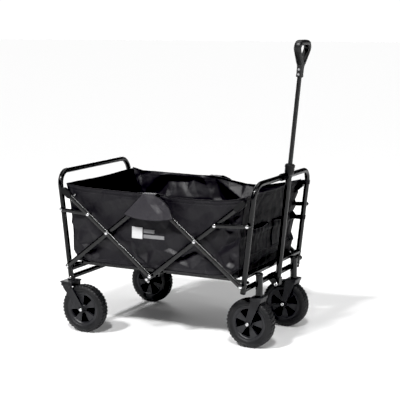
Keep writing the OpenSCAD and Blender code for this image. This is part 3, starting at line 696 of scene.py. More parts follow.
TYRE_V, TYRE_F = tyre_mesh()
WHEELS = {
    "rear_near": (REAR_AX, -REAR_TRACK, "wheel_rear_near", 64, 0.0),
    "rear_far": (REAR_AX, REAR_TRACK, "wheel_rear_far", 12, 0.13),
    "front_near": (FRONT_AX, -FRONT_TRACK, "wheel_front_near", 39, 0.07),
    "front_far": (FRONT_AX, FRONT_TRACK, "wheel_front_far", 22, 0.2),
}
for nm, (ax, ay, body, turn, roll) in WHEELS.items():
    c, s = math.cos(roll), math.sin(roll)
    R = np.array([[c, 0, -s], [0, 1, 0], [s, 0, c]])
    g = Geo()
    g.add(TYRE_V @ R.T + np.array([ax, ay, WR]), TYRE_F)
    build("tyre_" + nm + "_v", g, M_TYRE, body, 32, ["tyre_" + nm])
    V, F, pocket_shade_faces = rim_mesh(turn)
    g = Geo()
    g.add(V + np.array([ax, ay, WR]), F)
    o = build("rim_" + nm + "_v", g, M_RIM, body, 30, ["rim_" + nm], closed=False)
    # the pocket floors take the painted-shade material
    o.data.materials.append(M_RIM_PAINTED_SHADE)
    o.data.polygons.foreach_set("material_index", np.array(pocket_shade_faces, np.int32))
    bm = bmesh.new()
    bm.from_mesh(o.data)
    bmesh.ops.remove_doubles(bm, verts=bm.verts, dist=1e-6)
    bmesh.ops.recalc_face_normals(bm, faces=bm.faces)
    bm.to_mesh(o.data)
    bm.free()
    o.data.set_sharp_from_angle(angle=RAD(30))


# ---------------------------------------------------------------- forks and axles
def fork_geo(g, cx_top, z_top, ax, yc, crown):
    """Two tapered legs with sunk faces; crown gives the plate they hang from."""
    for s in (-1, 1):
        y0, y1 = (26, 31) if s > 0 else (-31, -26)
        v, f = plate(lambda d: taper((cx_top, z_top), (ax, WR), 17 - d, 11 - d), y0, y1, 1.5, 4, recess=(3.4, 0.9))
        g.add(np.array(v) + np.array([0, yc, 0]), f)
    for (x0, x1, w, z0, z1, r) in crown:
        v, f = rbox((x0, -w, z0), (x1, w, z1), r)
        g.add(np.array(v) + np.array([0, yc, 0]), f)


fx = -leg_x(184)
g = Geo()
for s in (-1, 1):
    fork_geo(g, fx + 2, 171, REAR_AX, s * REAR_TRACK, [(fx - 22, fx + 24, 31, 170, 183.5, 2.2), (fx - 24.5, fx + 26.5, 33.5, 182.5, 188, 2.0)])
    # the socket that takes the foot of the arch
    d = Vector((-math.sin(LEAN), 0, math.cos(LEAN)))
    g.add(*revolve([(9.6, 0), (13.5, 0), (13.5, 6), (12.6, 8.5), (9.6, 8.8), (9.6, 0)], (-leg_x(187), s * 244.0, 187.0), d, 36))
    for s2 in (-1, 1):
        g.add(*revolve([(0, 0), (5.4, 0), (5.4, 1.4), (4.4, 2.2), (0, 2.2)], (fx + 16, s * REAR_TRACK + s2 * 31.0, 166.0), (0, s2, 0), 24))
build("fork_rear_v", g, M_FORK, "rear_frame", 32, ["rear_forks"])
for nm, s in (("near", -1), ("far", 1)):
    g = Geo()
    fork_geo(g, STEM_X - 3, 169.5, FRONT_AX, s * FRONT_TRACK, [(STEM_X - 22, STEM_X + 19.5, 31.5, 175, 186.6, 2.2)])
    g.add(*revolve([(0, 183), (11.5, 183), (11.5, 186.9), (8, 186.9), (8, 256), (0, 256)], (STEM_X, s * FRONT_TRACK, 0), "z", 32))
    # the rib round the front of the crown
    v, f = rbox((STEM_X + 8, -29.5, 166), (STEM_X + 15.5, 29.5, 177), 2.0)
    g.add(np.array(v) + np.array([0, s * FRONT_TRACK, 0]), f)
    build("fork_caster_" + nm + "_v", g, M_FORK, "caster_" + nm, 32, ["caster_fork_" + nm])


def axle_geo(g, gd, ax, ay):
    for s in (-1, 1):
        gd.add(*revolve([(0, 31.0), (9.6, 31.0), (9.6, 31.9), (9.0, 32.4), (7.0, 32.4), (0, 32.4)], (ax, ay, WR), (0, s, 0), 36))
        g.add(*revolve([(0, 32.0), (6.6, 32.0), (6.6, 33.2), (6.2, 34.2), (5.0, 35.0), (3.2, 35.5), (0, 35.6)], (ax, ay, WR), (0, s, 0), 32))
    g.add(*revolve([(0, -31.2), (4.9, -31.2), (4.9, 31.2), (0, 31.2)], (ax, ay, WR), "y", 24))


for nm, ax, ays, body, nodes in (
    ("rear", REAR_AX, (-REAR_TRACK, REAR_TRACK), "rear_frame", ["rear_axles"]),
    ("caster_near", FRONT_AX, (-FRONT_TRACK,), "caster_near", ["caster_axle_near"]),
    ("caster_far", FRONT_AX, (FRONT_TRACK,), "caster_far", ["caster_axle_far"]),
):
    g, gd = Geo(), Geo()
    for ay in ays:
        axle_geo(g, gd, ax, ay)
    build("axle_" + nm + "_v", g, M_BOLT, body, 40, nodes)
    build("axle_washer_" + nm, gd, M_BLACK, body, 40)

# ---------------------------------------------------------------- handle grip
def handle_pt(across, up, out=0.0):
    """A point on the handle: across is Y, up runs along it from its pivot, out is square to it."""
    return (HAND_X + up * math.sin(HAND_LEAN) + out * math.cos(HAND_LEAN), across, HAND_Z + up * math.cos(HAND_LEAN) - out * math.sin(HAND_LEAN))


def hull_poly(circles):
    pts = [Vector((x + r * math.cos(a), y + r * math.sin(a))) for x, y, r in circles for a in np.linspace(0, 2 * PI, 90, endpoint=False)]
    ids = geometry.convex_hull_2d(pts)
    return np.array([pts[i][:] for i in ids])


def ray_r(poly, c, a):
    d = np.array([math.cos(a), math.sin(a)])
    best = 0.0
    for i in range(len(poly)):
        p, q = poly[i] - c, poly[(i + 1) % len(poly)] - c
        e = q - p
        den = d[0] * e[1] - d[1] * e[0]
        if abs(den) < 1e-9:
            continue
        t = (p[0] * e[1] - p[1] * e[0]) / den
        u = (p[0] * d[1] - p[1] * d[0]) / den
        if t > 0 and -1e-6 <= u <= 1 + 1e-6:
            best = max(best, t)
    return best


outer = hull_poly([(-30, HAND_LEN - 24, 24), (30, HAND_LEN - 24, 24), (0, 800, 19)])
inner = hull_poly([(-27, HAND_LEN - 30, 11), (27, HAND_LEN - 30, 11), (0, 811, 8)])
c0 = np.array([0.0, 836.0])
nphi, npsi = 96, 20
ro = np.array([ray_r(outer, c0, 2 * PI * k / nphi) for k in range(nphi)])
ri = np.array([ray_r(inner, c0, 2 * PI * k / nphi) for k in range(nphi)])
for _ in range(3):
    ro = (np.roll(ro, 1) + ro * 2 + np.roll(ro, -1)) / 4
    ri = (np.roll(ri, 1) + ri * 2 + np.roll(ri, -1)) / 4
v = []
for k in range(nphi):
    a = 2 * PI * k / nphi
    d = np.array([math.cos(a), math.sin(a)])
    rm, hw = (ro[k] + ri[k]) / 2, (ro[k] - ri[k]) / 2
    for j in range(npsi):
        b = 2 * PI * j / npsi
        cb, sb = math.cos(b), math.sin(b)
        pw = 0.78
        rr = rm + hw * math.copysign(abs(cb) ** pw, cb)
        out = 13.4 * math.copysign(abs(sb) ** pw, sb)
        # finger waves under the top bar
        if d[1] > 0.45 and cb < 0:
            rr += 0.9 * math.cos(rr * d[0] * 2 * PI / 19.0) * (-cb) ** 2 * (1 - (sb * sb)) * 0.9
        p = c0 + d * rr
        v.append(handle_pt(p[0], p[1], out))
g = Geo()
g.add(v, grid_faces(nphi, npsi, wrap_u=True, wrap_v=True))
axis = (math.sin(HAND_LEAN), 0, math.cos(HAND_LEAN))
g.add(*revolve([(8.05, 745), (11.4, 745), (12.4, 746), (12.5, 748), (12.5, 778), (12.9, 782), (14.2, 787), (15.2, 790), (15.2, 792), (8.05, 792), (8.05, 745)], (HAND_X, 0, HAND_Z), axis, 40))
for z in (749.5, 778.5):
    g.add(*revolve([(12.3, z - 1.2), (13.1, z - 0.7), (13.1, z + 0.7), (12.3, z + 1.2), (12.3, z - 1.2)], (HAND_X, 0, HAND_Z), axis, 40))
build("grip_v", g, M_GRIP, "handle_inner", 50, ["grip"])
# the collar's ribbed ring
g = Geo()
for k in range(4):
    z = 411.0 + k * 4.4
    g.add(*revolve([(16.3, z - 1.2), (17.0, z - 0.7), (17.0, z + 0.7), (16.3, z + 1.2), (16.3, z - 1.2)], (HAND_X, 0, HAND_Z), axis, 44))
build("collar_ribs", g, M_BLACK, "handle", 50)

# ---------------------------------------------------------------- the fabric tub
HW_Z = [255, 299, 344, 367, 395, 404, 425, 451, 470, 500, 547, 556]
HW_X = [335, 336, 337, 336, 339, 344, 341, 345, 347, 352, 363, 366]
TOP_NEAR = [(-366, 547), (-330, 543), (-300, 540), (-257, 537), (-130, 534), (-60, 533), (-22, 534), (42, 533), (62, 529), (120, 527), (190, 526), (260, 528), (322, 534), (366, 547)]
TOP_FAR = [(-366, 551), (-344, 545), (-323, 540), (-260, 540), (-191, 539), (-65, 537), (-20, 538), (5, 538), (40, 533), (70, 527), (143, 516), (185, 515), (250, 521), (310, 532), (366, 547)]
BOTTOM = [(-337, 300), (-330, 291), (-302, 274), (-270, 266), (-225, 262), (225, 262), (270, 266), (302, 274), (330, 291), (337, 300)]
NEAR_D = [
    (-366, 560, 0), (-366, 480, 0), (-350, 400, 0), (-345, 340, 0), (-345, 250, 0), (366, 560, 0), (366, 480, 0), (350, 400, 0), (345, 340, 0), (345, 250, 0),
    (-300, 545, 0), (-200, 545, 1), (-100, 545, 0), (-7, 531, 4.5), (100, 545, 0), (200, 545, 0), (300, 545, 0), (-200, 250, 1), (-100, 250, 1), (0, 250, -1), (100, 250, 1), (200, 250, 1), (280, 255, 1),
    (-300, 505, 2), (-255, 470, -3), (-200, 492, 3.5), (-150, 470, -1.5), (-118, 512, 2.5), (-95, 470, -2.5), (-60, 505, 3), (-48, 470, -1),
    (-90, 412, 0.4), (-90, 364, 0.4), (50, 412, 0.4), (50, 366, 0.4), (-20, 412, 0.4), (-20, 364, 0.6),
    (-36, 357, 3.6), (-59, 330, 4.6), (-66, 306, 3.2), (-92, 330, -3.0), (-30, 322, -4.5), (-3, 355, 3.4), (11, 336, 4.6), (39, 331, 4.8), (75, 323, 4.0), (40, 303, -3.5), (62, 348, -2.5), (-8, 300, 2.0),
    (-66, 284, -2.5), (-25, 278, 2.5), (12, 282, -3), (60, 281, 2.2),
    (159, 341, -7), (99, 290, 5.0), (150, 272, 7.0), (217, 266, 5.0), (210, 300, 2.0), (118, 322, -5.0), (196, 322, -5.5),
    (330, 402, -5), (312, 385, -8.0), (271, 367, -8.5), (244, 344, -6.5), (328, 375, 1.0), (300, 356, 4.0), (268, 335, 4.5), (332, 352, -2.5), (318, 332, 5.5), (300, 318, -4.0), (284, 300, 5.0), (327, 312, -3), (306, 292, 4.0), (288, 279, -2.0), (255, 300, -2.5),
    (349, 487, 0), (331, 455, 6.0), (322, 430, -3.0), (300, 412, 4.0), (310, 470, -3.0), (270, 440, 2.0),
    (-321, 372, -5.0), (-285, 305, 6.0), (-334, 345, 1.0), (-328, 300, 1.0), (-310, 330, 1.5), (-250, 330, -3.0), (-262, 380, 2.5), (-210, 350, 4.0), (-170, 312, -3.5), (-140, 345, 2.5), (-150, 400, 1.5), (-205, 425, -2.5), (-265, 430, 1.5),
    (110, 400, 2.5), (150, 440, -2.0), (195, 400, 3.0), (226, 440, 1.5), (205, 480, -2.5), (140, 490, 2.5), (85, 470, -2.0), (75, 512, 1.5), (255, 500, 2.0), (230, 370, -2.0),
]
FAR_D = [
    (-366, 560, 0), (-366, 480, 0), (-350, 400, 0), (-345, 340, 0), (-345, 250, 0), (366, 560, 0), (366, 480, 0), (350, 400, 0), (345, 340, 0), (345, 250, 0),
    (-323, 545, 2), (-240, 545, -4), (-194, 545, -8), (-60, 545, -8), (5, 541, 1), (70, 530, 3), (143, 519, 4), (250, 525, 4), (310, 540, 2),
    (-322, 524, 5), (-254, 440, 6), (-240, 524, -10), (-208, 443, -15), (-203, 502, 4), (-113, 506, 5), (-91, 515, 2), (-112, 474, -9), (-116, 446, -15), (-60, 448, -11), (-3, 450, -9), (-30, 500, -2), (36, 453, 8), (127, 460, -17), (66, 495, -6), (5, 527, 6),
    (120, 505, 4), (200, 485, 5), (260, 500, 6), (300, 465, 3), (210, 440, -3),
    (-330, 480, -5), (-340, 440, 5), (-312, 450, -7), (-346, 512, 6), (-334, 500, -4),
    (-300, 360, 3), (-200, 350, -8), (-100, 340, 4), (0, 350, -7), (90, 345, 5), (180, 350, -8), (280, 350, 3), (-150, 400, 3), (-40, 400, -5), (70, 400, 3), (170, 400, -3), (-250, 300, -4), (-60, 290, 3), (60, 295, -4), (160, 290, 3), (255, 300, -4),
    (-200, 250, 0), (0, 250, 0), (200, 250, 0),
]


FC_Z = [255, 300, 318, 344, 367, 395, 404, 425, 451, 470, 500, 520, 547, 556]
FC_X = [331, 325, 338, 327, 331, 338, 352, 333, 347, 341, 354, 344, 364, 366]


def corner_x(z, near_w):
    """Half length of the tub at height z: near_w = 1 away from the far front corner, 0 on it."""
    return np.interp(z, HW_Z, HW_X) * near_w + np.interp(z, FC_Z, FC_X) * (1 - near_w)


def rough_cloth(U, V, seed, amp=1.0):
    n = 1.1 * vnoise(U / 62 + V / 150, V / 80, seed) + 0.55 * vnoise(U / 26, V / 34, seed + 1) + 0.16 * vnoise(U / 9, V / 11, seed + 2)
    r = 1 - np.abs(vnoise(U / 48 + V / 70, V / 52 - U / 120, seed + 3))
    return amp * (n + 0.9 * (r - 0.6))


def side_sheet(s, top, points, seed):
    nu, nv = 260, 96
    a = np.linspace(0, 1, nu)[:, None] * np.ones((1, nv))
    b = np.linspace(0, 1, nv)[None, :] * np.ones((nu, 1))
    xb = (2 * a - 1) * 337
    zb = np.interp(xb, *zip(*BOTTOM))
    zt = np.interp((2 * a - 1) * 366, *zip(*top))
    Z = zb + b * (zt - zb)
    X = (2 * a - 1) * corner_x(Z, 1 - (np.clip((a - 0.75) / 0.25, 0, 1) ** 2 if s > 0 else 0 * a))
    D = facets([(x, z, h * (1.35 if h > 0 else 2.0)) for x, z, h in points] if s < 0 else [(x, z, h * 1.3) for x, z, h in points], X, Z)
    D = blur(D, 1, 2)
    calm = 1 - 0.9 * np.exp(-(((X + 20) / 82) ** 4) - (((Z - 389) / 34) ** 4))
    D += rough_cloth(X, Z, seed, 1.5) * calm
    edge = np.minimum(np.minimum(a, 1 - a) * 728 / 22, 1)
    hold = np.minimum(np.minimum(b * 280 / 16, (1 - b) * 280 / 9), 1)
    D = D * edge**0.7 * (0.25 + 0.75 * np.clip(hold, 0, 1))
    D -= 3.0 * (1 - np.minimum(np.minimum(a, 1 - a) * 728 / 9, 1)) ** 2
    # small gathers along the bottom hem
    D += 1.0 * np.exp(-(((Z - zb) / 14.0) ** 2)) * np.sin(X / 6.5 + 2.2 * vnoise(X / 40, X * 0, seed + 5)) * edge
    for rx, rz in (X_L, X_R, (-LBX, LBZ), (LBX, LBZ), P_TL, P_TR, (0, TOPZ), (-LFX, LINK_Z), (LFX, LINK_Z)):
        D -= 5.0 * np.exp(-(((X - rx) / 17.0) ** 2) - (((Z - rz) / 17.0) ** 2))
    D = np.clip(D, -40, 6.4)
    Y = s * (242.0 + D)
    # the hem turns in under the tub
    curl = [(10.5, 0.3), (7.5, -1.7), (4.2, -2.4), (1.6, -1.9)]
    rows = [np.stack([X[:, 0], Y[:, 0] - s * c, Z[:, 0] + dz], 1) for c, dz in curl]
    P = np.concatenate([np.stack(rows, 1), np.stack([X, Y, Z], 2)], 1)
    return P, D


def sheet_geo(P, flip=False):
    nu, nv = P.shape[:2]
    du = np.linalg.norm(np.diff(P, axis=0), axis=2).mean(1)
    dv = np.linalg.norm(np.diff(P, axis=1), axis=2).mean(0)
    U = np.concatenate([[0], np.cumsum(du)]) / 1000
    V = np.concatenate([[0], np.cumsum(dv)]) / 1000
    uv = np.stack(np.meshgrid(U, V, indexing="ij"), 2).reshape(-1, 2)
    f = grid_faces(nu, nv)
    if flip:
        f = [tuple(reversed(q)) for q in f]
    return P.reshape(-1, 3), f, uv


def stitch_geo(g, path, off, pitch=5.0, length=3.2, r=0.35):
    """Short raised threads along a path; off lifts them off the cloth."""
    P = np.array(path, float) + np.array(off, float)
    seg = np.linalg.norm(np.diff(P, axis=0), axis=1)
    L = np.concatenate([[0], np.cumsum(seg)])
    at = lambda q: np.array([np.interp(q, L, P[:, i]) for i in range(3)])
    q = 2.0
    while q + length < L[-1]:
        A, B = at(q), at(q + length)
        t = B - A
        n = np.array(off, float)
        n = n / (np.linalg.norm(n) + 1e-9)
        w = np.cross(t, n)
        w = w / (np.linalg.norm(w) + 1e-9)
        v = []
        for c, k in ((0.0, 0.35), (0.25, 1.0), (0.75, 1.0), (1.0, 0.35)):
            o = A + t * c
            for ww, nn in ((-1, -0.6), (-0.6, 0.9), (0.6, 0.9), (1, -0.6)):
                v.append(o + w * ww * r * k + n * nn * r * k)
        f = grid_faces(4, 4, wrap_v=True) + [(0, 1, 2, 3), (15, 14, 13, 12)]
        g.add(v, f)
        q += pitch


def squashed(o):
    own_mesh(o)
    return o


def bake(o):
    """Applies the piece's modifiers to its own mesh."""
    dg = bpy.context.evaluated_depsgraph_get()
    me = bpy.data.meshes.new_from_object(o.evaluated_get(dg), preserve_all_data_layers=True, depsgraph=dg)
    o.modifiers.clear()
    o.data = me
    return o


PANEL = {}
for nm, s, top, pts, seed in (("near", -1, TOP_NEAR, NEAR_D, 11), ("far", 1, TOP_FAR, FAR_D, 37)):
    P, D = side_sheet(s, top, pts, seed)
    PANEL[nm] = P
    g = Geo()
    g.add(*sheet_geo(P, flip=(s > 0)))
    o = build("side_cloth_" + nm, g, M_TUB, "rear_frame", None, ["side_panel_" + nm], closed=False, solid=1.3)
    squashed(bake(o))
    # top hem: a turned strip with two stitch lines, and the bottom hem's welt
    edge = P[:, -1]
    down = P[:, -7]
    g = Geo()
    path = spline(edge[::4], 3)
    g.add(*sweep(path + np.array([0, 0, -1.2]), 1.9, 10, ry=2.4))
    mid = (P[:, -2] + P[:, -3]) / 2
    strip_v, rows = [], [(-1, 0.9), (-3, 1.4), (-5, 1.3), (-6, 0.2)]
    g.add(*sweep(spline(P[::4, -6], 3) + np.array([0, s * 0.5, 0]), 0.8, 8, ry=1.0))
    g.add(*sweep(spline(P[::4, 5], 3) + np.array([0, s * 0.7, 0]), 1.3, 8, ry=1.8))
    g.add(*sweep(spline(P[::4, 2], 3) + np.array([0, 0, -0.6]), 1.4, 8, ry=1.4))
    hem = build("hem_" + nm, g, M_HEM, "rear_frame", None)
    squashed(hem)
    g = Geo()
    for row, o2 in ((-4, 1.0), (-8, 1.0), (7, 1.0), (9, 1.0)):
        stitch_geo(g, P[::3, row], (0, s * o2, 0))
        stitch_geo(g, P[::3, row], (0, -s * o2, 0))
    st = build("stitch_" + nm, g, M_THREAD, "rear_frame", None, closed=False)
    squashed(st)


def panel_y(nm, x, z):
    P = PANEL[nm].reshape(-1, 3)
    d = (P[:, 0][None, :] - np.ravel(x)[:, None]) ** 2 + (P[:, 2][None, :] - np.ravel(z)[:, None]) ** 2
    k = np.argpartition(d, 4, axis=1)[:, :4]
    w = 1 / (np.take_along_axis(d, k, 1) + 0.5)
    return (np.sum(w * P[:, 1][k], 1) / w.sum(1)).reshape(np.shape(x))


# label patches: blank cloth on the side panels
for nm, s in (("near", -1), ("far", 1)):
    for tag, x0, x1, z0, z1, mt in (("square", -86, -42, 368, 410, M_LABEL), ("bar_top", -38, 6, 391, 404, M_LABEL_G), ("bar_low", -38, 46, 372, 385, M_LABEL_G)):
        nu, nv = 30, 16
        X, Z = np.meshgrid(np.linspace(x0, x1, nu), np.linspace(z0, z1, nv), indexing="ij")
        Y = panel_y(nm, X, Z)
        fit = np.stack([X.ravel(), Z.ravel(), np.ones(X.size)], 1)
        Y = 0.25 * Y + 0.75 * (fit @ np.linalg.lstsq(fit, Y.ravel(), rcond=None)[0]).reshape(Y.shape)
        Y = blur(Y, 2, 2)
        Y = Y + s * 1.5
        P = np.stack([X, Y, Z], 2)
        g = Geo()
        g.add(*sheet_geo(P, flip=(s > 0)))
        o = build("label_%s_%s" % (tag, nm), g, mt, "rear_frame", None, ["labels"] if tag == "square" and nm == "near" else (), closed=False, solid=0.8)
        squashed(bake(o))

# flaps over the top middle pivots
FLAP_D = [(-30, 545, 1), (50, 545, 1), (-9, 530, 3.0), (24, 529, 2.0), (-100, 470, 0), (-95, 462, 0), (-55, 448, 1.5), (-23, 444, 2.5), (-30, 480, 0.8), (-60, 462, 1.2), (12, 500, 4.2), (43, 472, 6.0),
          (56, 452, 3.5), (8, 452, 2.2), (40, 505, 0.6), (62, 480, 0.2), (60, 503, 4.6), (100, 464, 5.2), (92, 507, 0), (72, 524, 0.5), (112, 460, 0), (70, 450, 1.0), (110, 440, 0), (-100, 440, 0), (120, 520, 0)]
for nm, s in (("near", -1), ("far", 1)):
    left = np.array([(-24, 534.5), (-93, 462)])
    right = np.array([(27, 534.0), (50, 525), (73, 509), (92, 487), (107, 459)])
    nu, nv = 64, 56
    bb = np.linspace(0, 1, nv)
    lx, lz = np.interp(bb, [0, 1], left[:, 0]), np.interp(bb, [0, 1], left[:, 1])
    lr = np.concatenate([[0], np.cumsum(np.linalg.norm(np.diff(right, axis=0), axis=1))])
    rx, rz = np.interp(bb * lr[-1], lr, right[:, 0]), np.interp(bb * lr[-1], lr, right[:, 1])
    a = np.linspace(0, 1, nu)[:, None]
    X = lx[None, :] * (1 - a) + rx[None, :] * a
    Z = lz[None, :] * (1 - a) + rz[None, :] * a
    Z = Z - 17 * (4 * a * (1 - a)) ** 0.8 * (1 - 0.25 * a) * bb[None, :] ** 2.2
    D = blur(facets(FLAP_D, X, Z), 1, 2)
    D += 0.35 * vnoise(X / 24, Z / 30, 71) + 0.12 * vnoise(X / 8, Z / 8, 72)
    base = 277.6 - 0.0 * Z
    Y = base + np.clip(1.5 * D, 0, 9.5) + 11.0 * bb[None, :] ** 1.3
    # over the hem and the top of the bars
    ov = [(243.6, -1.0), (246, 0.8), (251, 2.2), (258, 3.0), (265, 3.2), (271, 2.8), (275, 1.6)]
    rows = [np.stack([X[:, 0], np.full(nu, y), Z[:, 0] + dz + 0.5 * vnoise(X[:, 0] / 20, X[:, 0] * 0 + y / 9, 73)], 1) for y, dz in ov]
    P = np.concatenate([np.stack(rows, 1), np.stack([X, Y, Z], 2)], 1)
    P[:, :, 1] *= s
    g = Geo()
    g.add(*sheet_geo(P, flip=(s < 0)))
    o = build("flap_" + nm, g, M_FLAP, "rear_frame", None, ["flaps"] if nm == "near" else (), closed=False, solid=1.5)
    squashed(bake(o))
    g = Geo()
    rim = np.concatenate([P[0, 8:], P[1:-1, -1], P[-1, 8:][::-1]])
    keep = [0]
    for i in range(1, len(rim)):
        if np.linalg.norm(rim[i] - rim[keep[-1]]) > 3.0:
            keep.append(i)
    g.add(*sweep(rim[keep], 1.5, 8, ry=1.9))
    b = build("flap_edge_" + nm, g, M_HEM, "rear_frame", None)
    squashed(b)
    g = Geo()
    inset = np.concatenate([P[3, 10:-4], P[3:-3, -4], P[-4, 10:-4][::-1]])
    stitch_geo(g, inset, (0, s * 0.95, 0), 4.4, 3.0, 0.34)
    b = build("flap_stitch_" + nm, g, M_THREAD, "rear_frame", None, closed=False)
    squashed(b)

# end panels
END_BOT = {"front": [(-240, 284), (-160, 293), (0, 305), (150, 304), (210, 310), (240, 322)], "rear": [(-240, 300), (-120, 292), (0, 290), (120, 292), (240, 300)]}
for nm, body, sx in (("front", "front_frame", 1), ("rear", "rear_frame", -1)):
    nu, nv = 180, 96
    a = np.linspace(0, 1, nu)[:, None] * np.ones((1, nv))
    b = np.linspace(0, 1, nv)[None, :] * np.ones((nu, 1))
    Y = (2 * a - 1) * 239.0
    zb = np.interp(Y, *zip(*END_BOT[nm]))
    zt = 547 - 4.0 * np.cos(Y / 240 * PI / 2) ** 2
    Z = zb + b * (zt - zb)
    Xb = corner_x(Z, 1 - (np.clip((Y - 130) / 110, 0, 1) ** 2 if nm == "front" else 0 * Y)) - 1.0
    seed = 91 if nm == "front" else 113
    D = rough_cloth(Y, Z, seed, 1.6)
    D += 3.2 * np.sin(PI * np.clip(b, 0, 1)) * np.cos(Y / 240 * PI / 2) * (1 if nm == "front" else 0.7)
    D += 2.2 * np.exp(-((((Y + 215) * 0.8 - (Z - 420) * 0.35) / 14) ** 2)) + 2.0 * np.exp(-((((Y - 190) * 0.8 + (Z - 430) * 0.4) / 13) ** 2))
    D -= 1.8 * np.exp(-((((Y + 120) - (Z - 500) * 1.1) / 16) ** 2)) + 1.8 * np.exp(-((((Y - 110) + (Z - 500) * 1.2) / 18) ** 2))
    edge = np.minimum(np.minimum(a, 1 - a) * 480 / 25, 1)
    D = np.clip(D * edge, -9, 6.5)
    X = sx * (Xb + D)
    # the side edges draw in between the places where they are held
    P = np.stack([X, Y, Z], 2)
    rows = []
    for t in (1.0, 0.86, 0.7, 0.52, 0.34, 0.17):
        zz = Z[:, 0] + (262.4 - Z[:, 0]) * t
        xx = sx * (np.abs(X[:, 0]) + (329.2 - np.abs(X[:, 0])) * min(1.0, 0.15 + 1.15 * t) + 1.2 * np.sin(PI * t) * vnoise(Y[:, 0] / 30, zz / 30, seed + 7))
        rows.append(np.stack([xx, Y[:, 0] * (1 - 0.05 * t), zz], 1))
    P = np.concatenate([np.stack(rows, 1), P], 1)
    PANEL[nm] = P
    g = Geo()
    g.add(*sheet_geo(P, flip=(sx > 0)))
    # the end panels use the darker painted-shade copy of the tub cloth
    o = build("end_cloth_" + nm, g, M_TUB_END_SHADED, body, None, [nm + "_panel"], closed=False, solid=1.3)
    bake(o)
    g = Geo()
    g.add(*sweep(spline(P[::4, -1], 3) + np.array([0, 0, -1.2]), 2.4, 10, ry=1.9, up=(1, 0, 0)))
    g.add(*sweep(spline(P[::4, 6], 3), 1.6, 8, ry=2.0, up=(1, 0, 0)))
    g.add(*sweep(spline(P[::4, -7], 3) + np.array([sx * 0.6, 0, 0]), 0.9, 8, ry=0.8, up=(1, 0, 0)))
    g.add(*sweep(spline(P[::4, 12], 3) + np.array([sx * 0.6, 0, 0]), 0.9, 8, ry=0.8, up=(1, 0, 0)))
    # bound corners, where the end meets the side panels
    for i, sy in ((0, -1), (-1, 1)):
        zz = np.linspace(P[i, 6, 2], 548, 60)
        xx = sx * (corner_x(zz, 0 if nm == "front" and sy > 0 else 1) - 1.2)
        yy = sy * (240.6 - 0.5 * np.cos(zz / 9.0))
        g.add(*sweep(np.stack([xx, yy, zz], 1), 2.2, 10, ry=2.0))
    build("hem_end_" + nm, g, M_HEM, body, None)
    g = Geo()
    for row in (-4, -9, 9, 14):
        stitch_geo(g, P[::3, row], (sx * 1.0, 0, 0))
        stitch_geo(g, P[::3, row], (-sx * 1.0, 0, 0))
    build("stitch_end_" + nm, g, M_THREAD, body, None, closed=False)
    # webbing loops that tie the far front corner to the arch
    g = Geo()
    for sy in (-1, 1):
        for z in (538.0, 404.0) if (sy > 0 and sx > 0) else ():
            cx, cy = sx * leg_x(z), sy * 244.0
            hx = sx * (np.interp(z, HW_Z, HW_X) - 2)
            ang = np.linspace(125, -125, 22)
            loop = [(cx + sx * 10.6 * math.cos(RAD(q)), cy + 10.6 * math.sin(RAD(q)), z) for q in ang]
            path = [(hx, sy * 240 + 2.5, z), (hx + sx * 6, sy * 241 + 4.0, z)] + loop + [(hx + sx * 6, sy * 241 - 4.0, z), (hx, sy * 240 - 2.5, z)]
            tilt = Vector((sx * math.sin(LEAN), 0, math.cos(LEAN)))
            path = np.array(path)
            path[:, 2] += 0
            g.add(*strap(spline(path, 2), 15.0, 1.4, tilt))
    if nm == "front":
        build("corner_loops", g, M_HEM, body, 50)

# mesh pockets on the front panel
P = PANEL["front"]
for tag, y0, y1 in (("near", -186, -22), ("far", 22, 186)):
    nu, nv = 60, 34
    a = np.linspace(0, 1, nu)[:, None] * np.ones((1, nv))
    b = np.linspace(0, 1, nv)[None, :] * np.ones((nu, 1))
    Y = y0 + a * (y1 - y0)
    Z = 330 + b * 96 - 6 * np.sin(PI * a) * b**2
    F = P.reshape(-1, 3)
    d = (F[:, 1][None, :] - Y.ravel()[:, None]) ** 2 + (F[:, 2][None, :] - Z.ravel()[:, None]) ** 2
    X = F[:, 0][np.argmin(d, 1)].reshape(Y.shape)
    X = blur(X, 2, 2) + 1.6 + 7.0 * np.sin(PI * a) ** 0.8 * (0.15 + 0.85 * b) * (1 - 0.12 * np.cos(a * 34))
    Q = np.stack([X, Y, Z], 2)
    g = Geo()
    g.add(*sheet_geo(Q, flip=True))
    o = build("pocket_" + tag, g, M_MESH, "front_frame", None, closed=False, solid=1.0)
    bake(o)
    g = Geo()
    ring = np.concatenate([Q[0, ::-1][:-1], Q[:, 0], Q[-1, 1:]])
    g.add(*sweep(ring[::2], 1.6, 8, ry=2.2, up=(1, 0, 0)))
    g.add(*sweep(spline(Q[::3, -1], 3), 2.2, 8, ry=3.6, up=(1, 0, 0)))
    build("pocket_edge_" + tag, g, M_HEM, "front_frame", None)

# press studs beside the top corners of the side panels
g, gd = Geo(), Geo()
for s, nm in ((-1, "near"), (1, "far")):
    for x, z in ((-326, 507), (322, 506)):
        y = float(panel_y(nm, np.array([x]), np.array([z]))[0])
        gd.add(*revolve([(0, 0.2), (7.0, 0.2), (7.4, 1.2), (6.6, 2.0), (4.6, 2.2), (4.2, 1.4), (0, 1.4)], (x, y, z), (0, s, 0), 28))
        g.add(*revolve([(0, 1.2), (3.8, 1.2), (3.8, 2.0), (3.2, 3.0), (1.8, 3.5), (0, 3.6)], (x, y, z), (0, s, 0), 24))
o = build("stud_rings", gd, M_BLACK, "rear_frame", 50)
squashed(o)
o = build("studs", g, M_RIVET, "rear_frame", 50)
squashed(o)

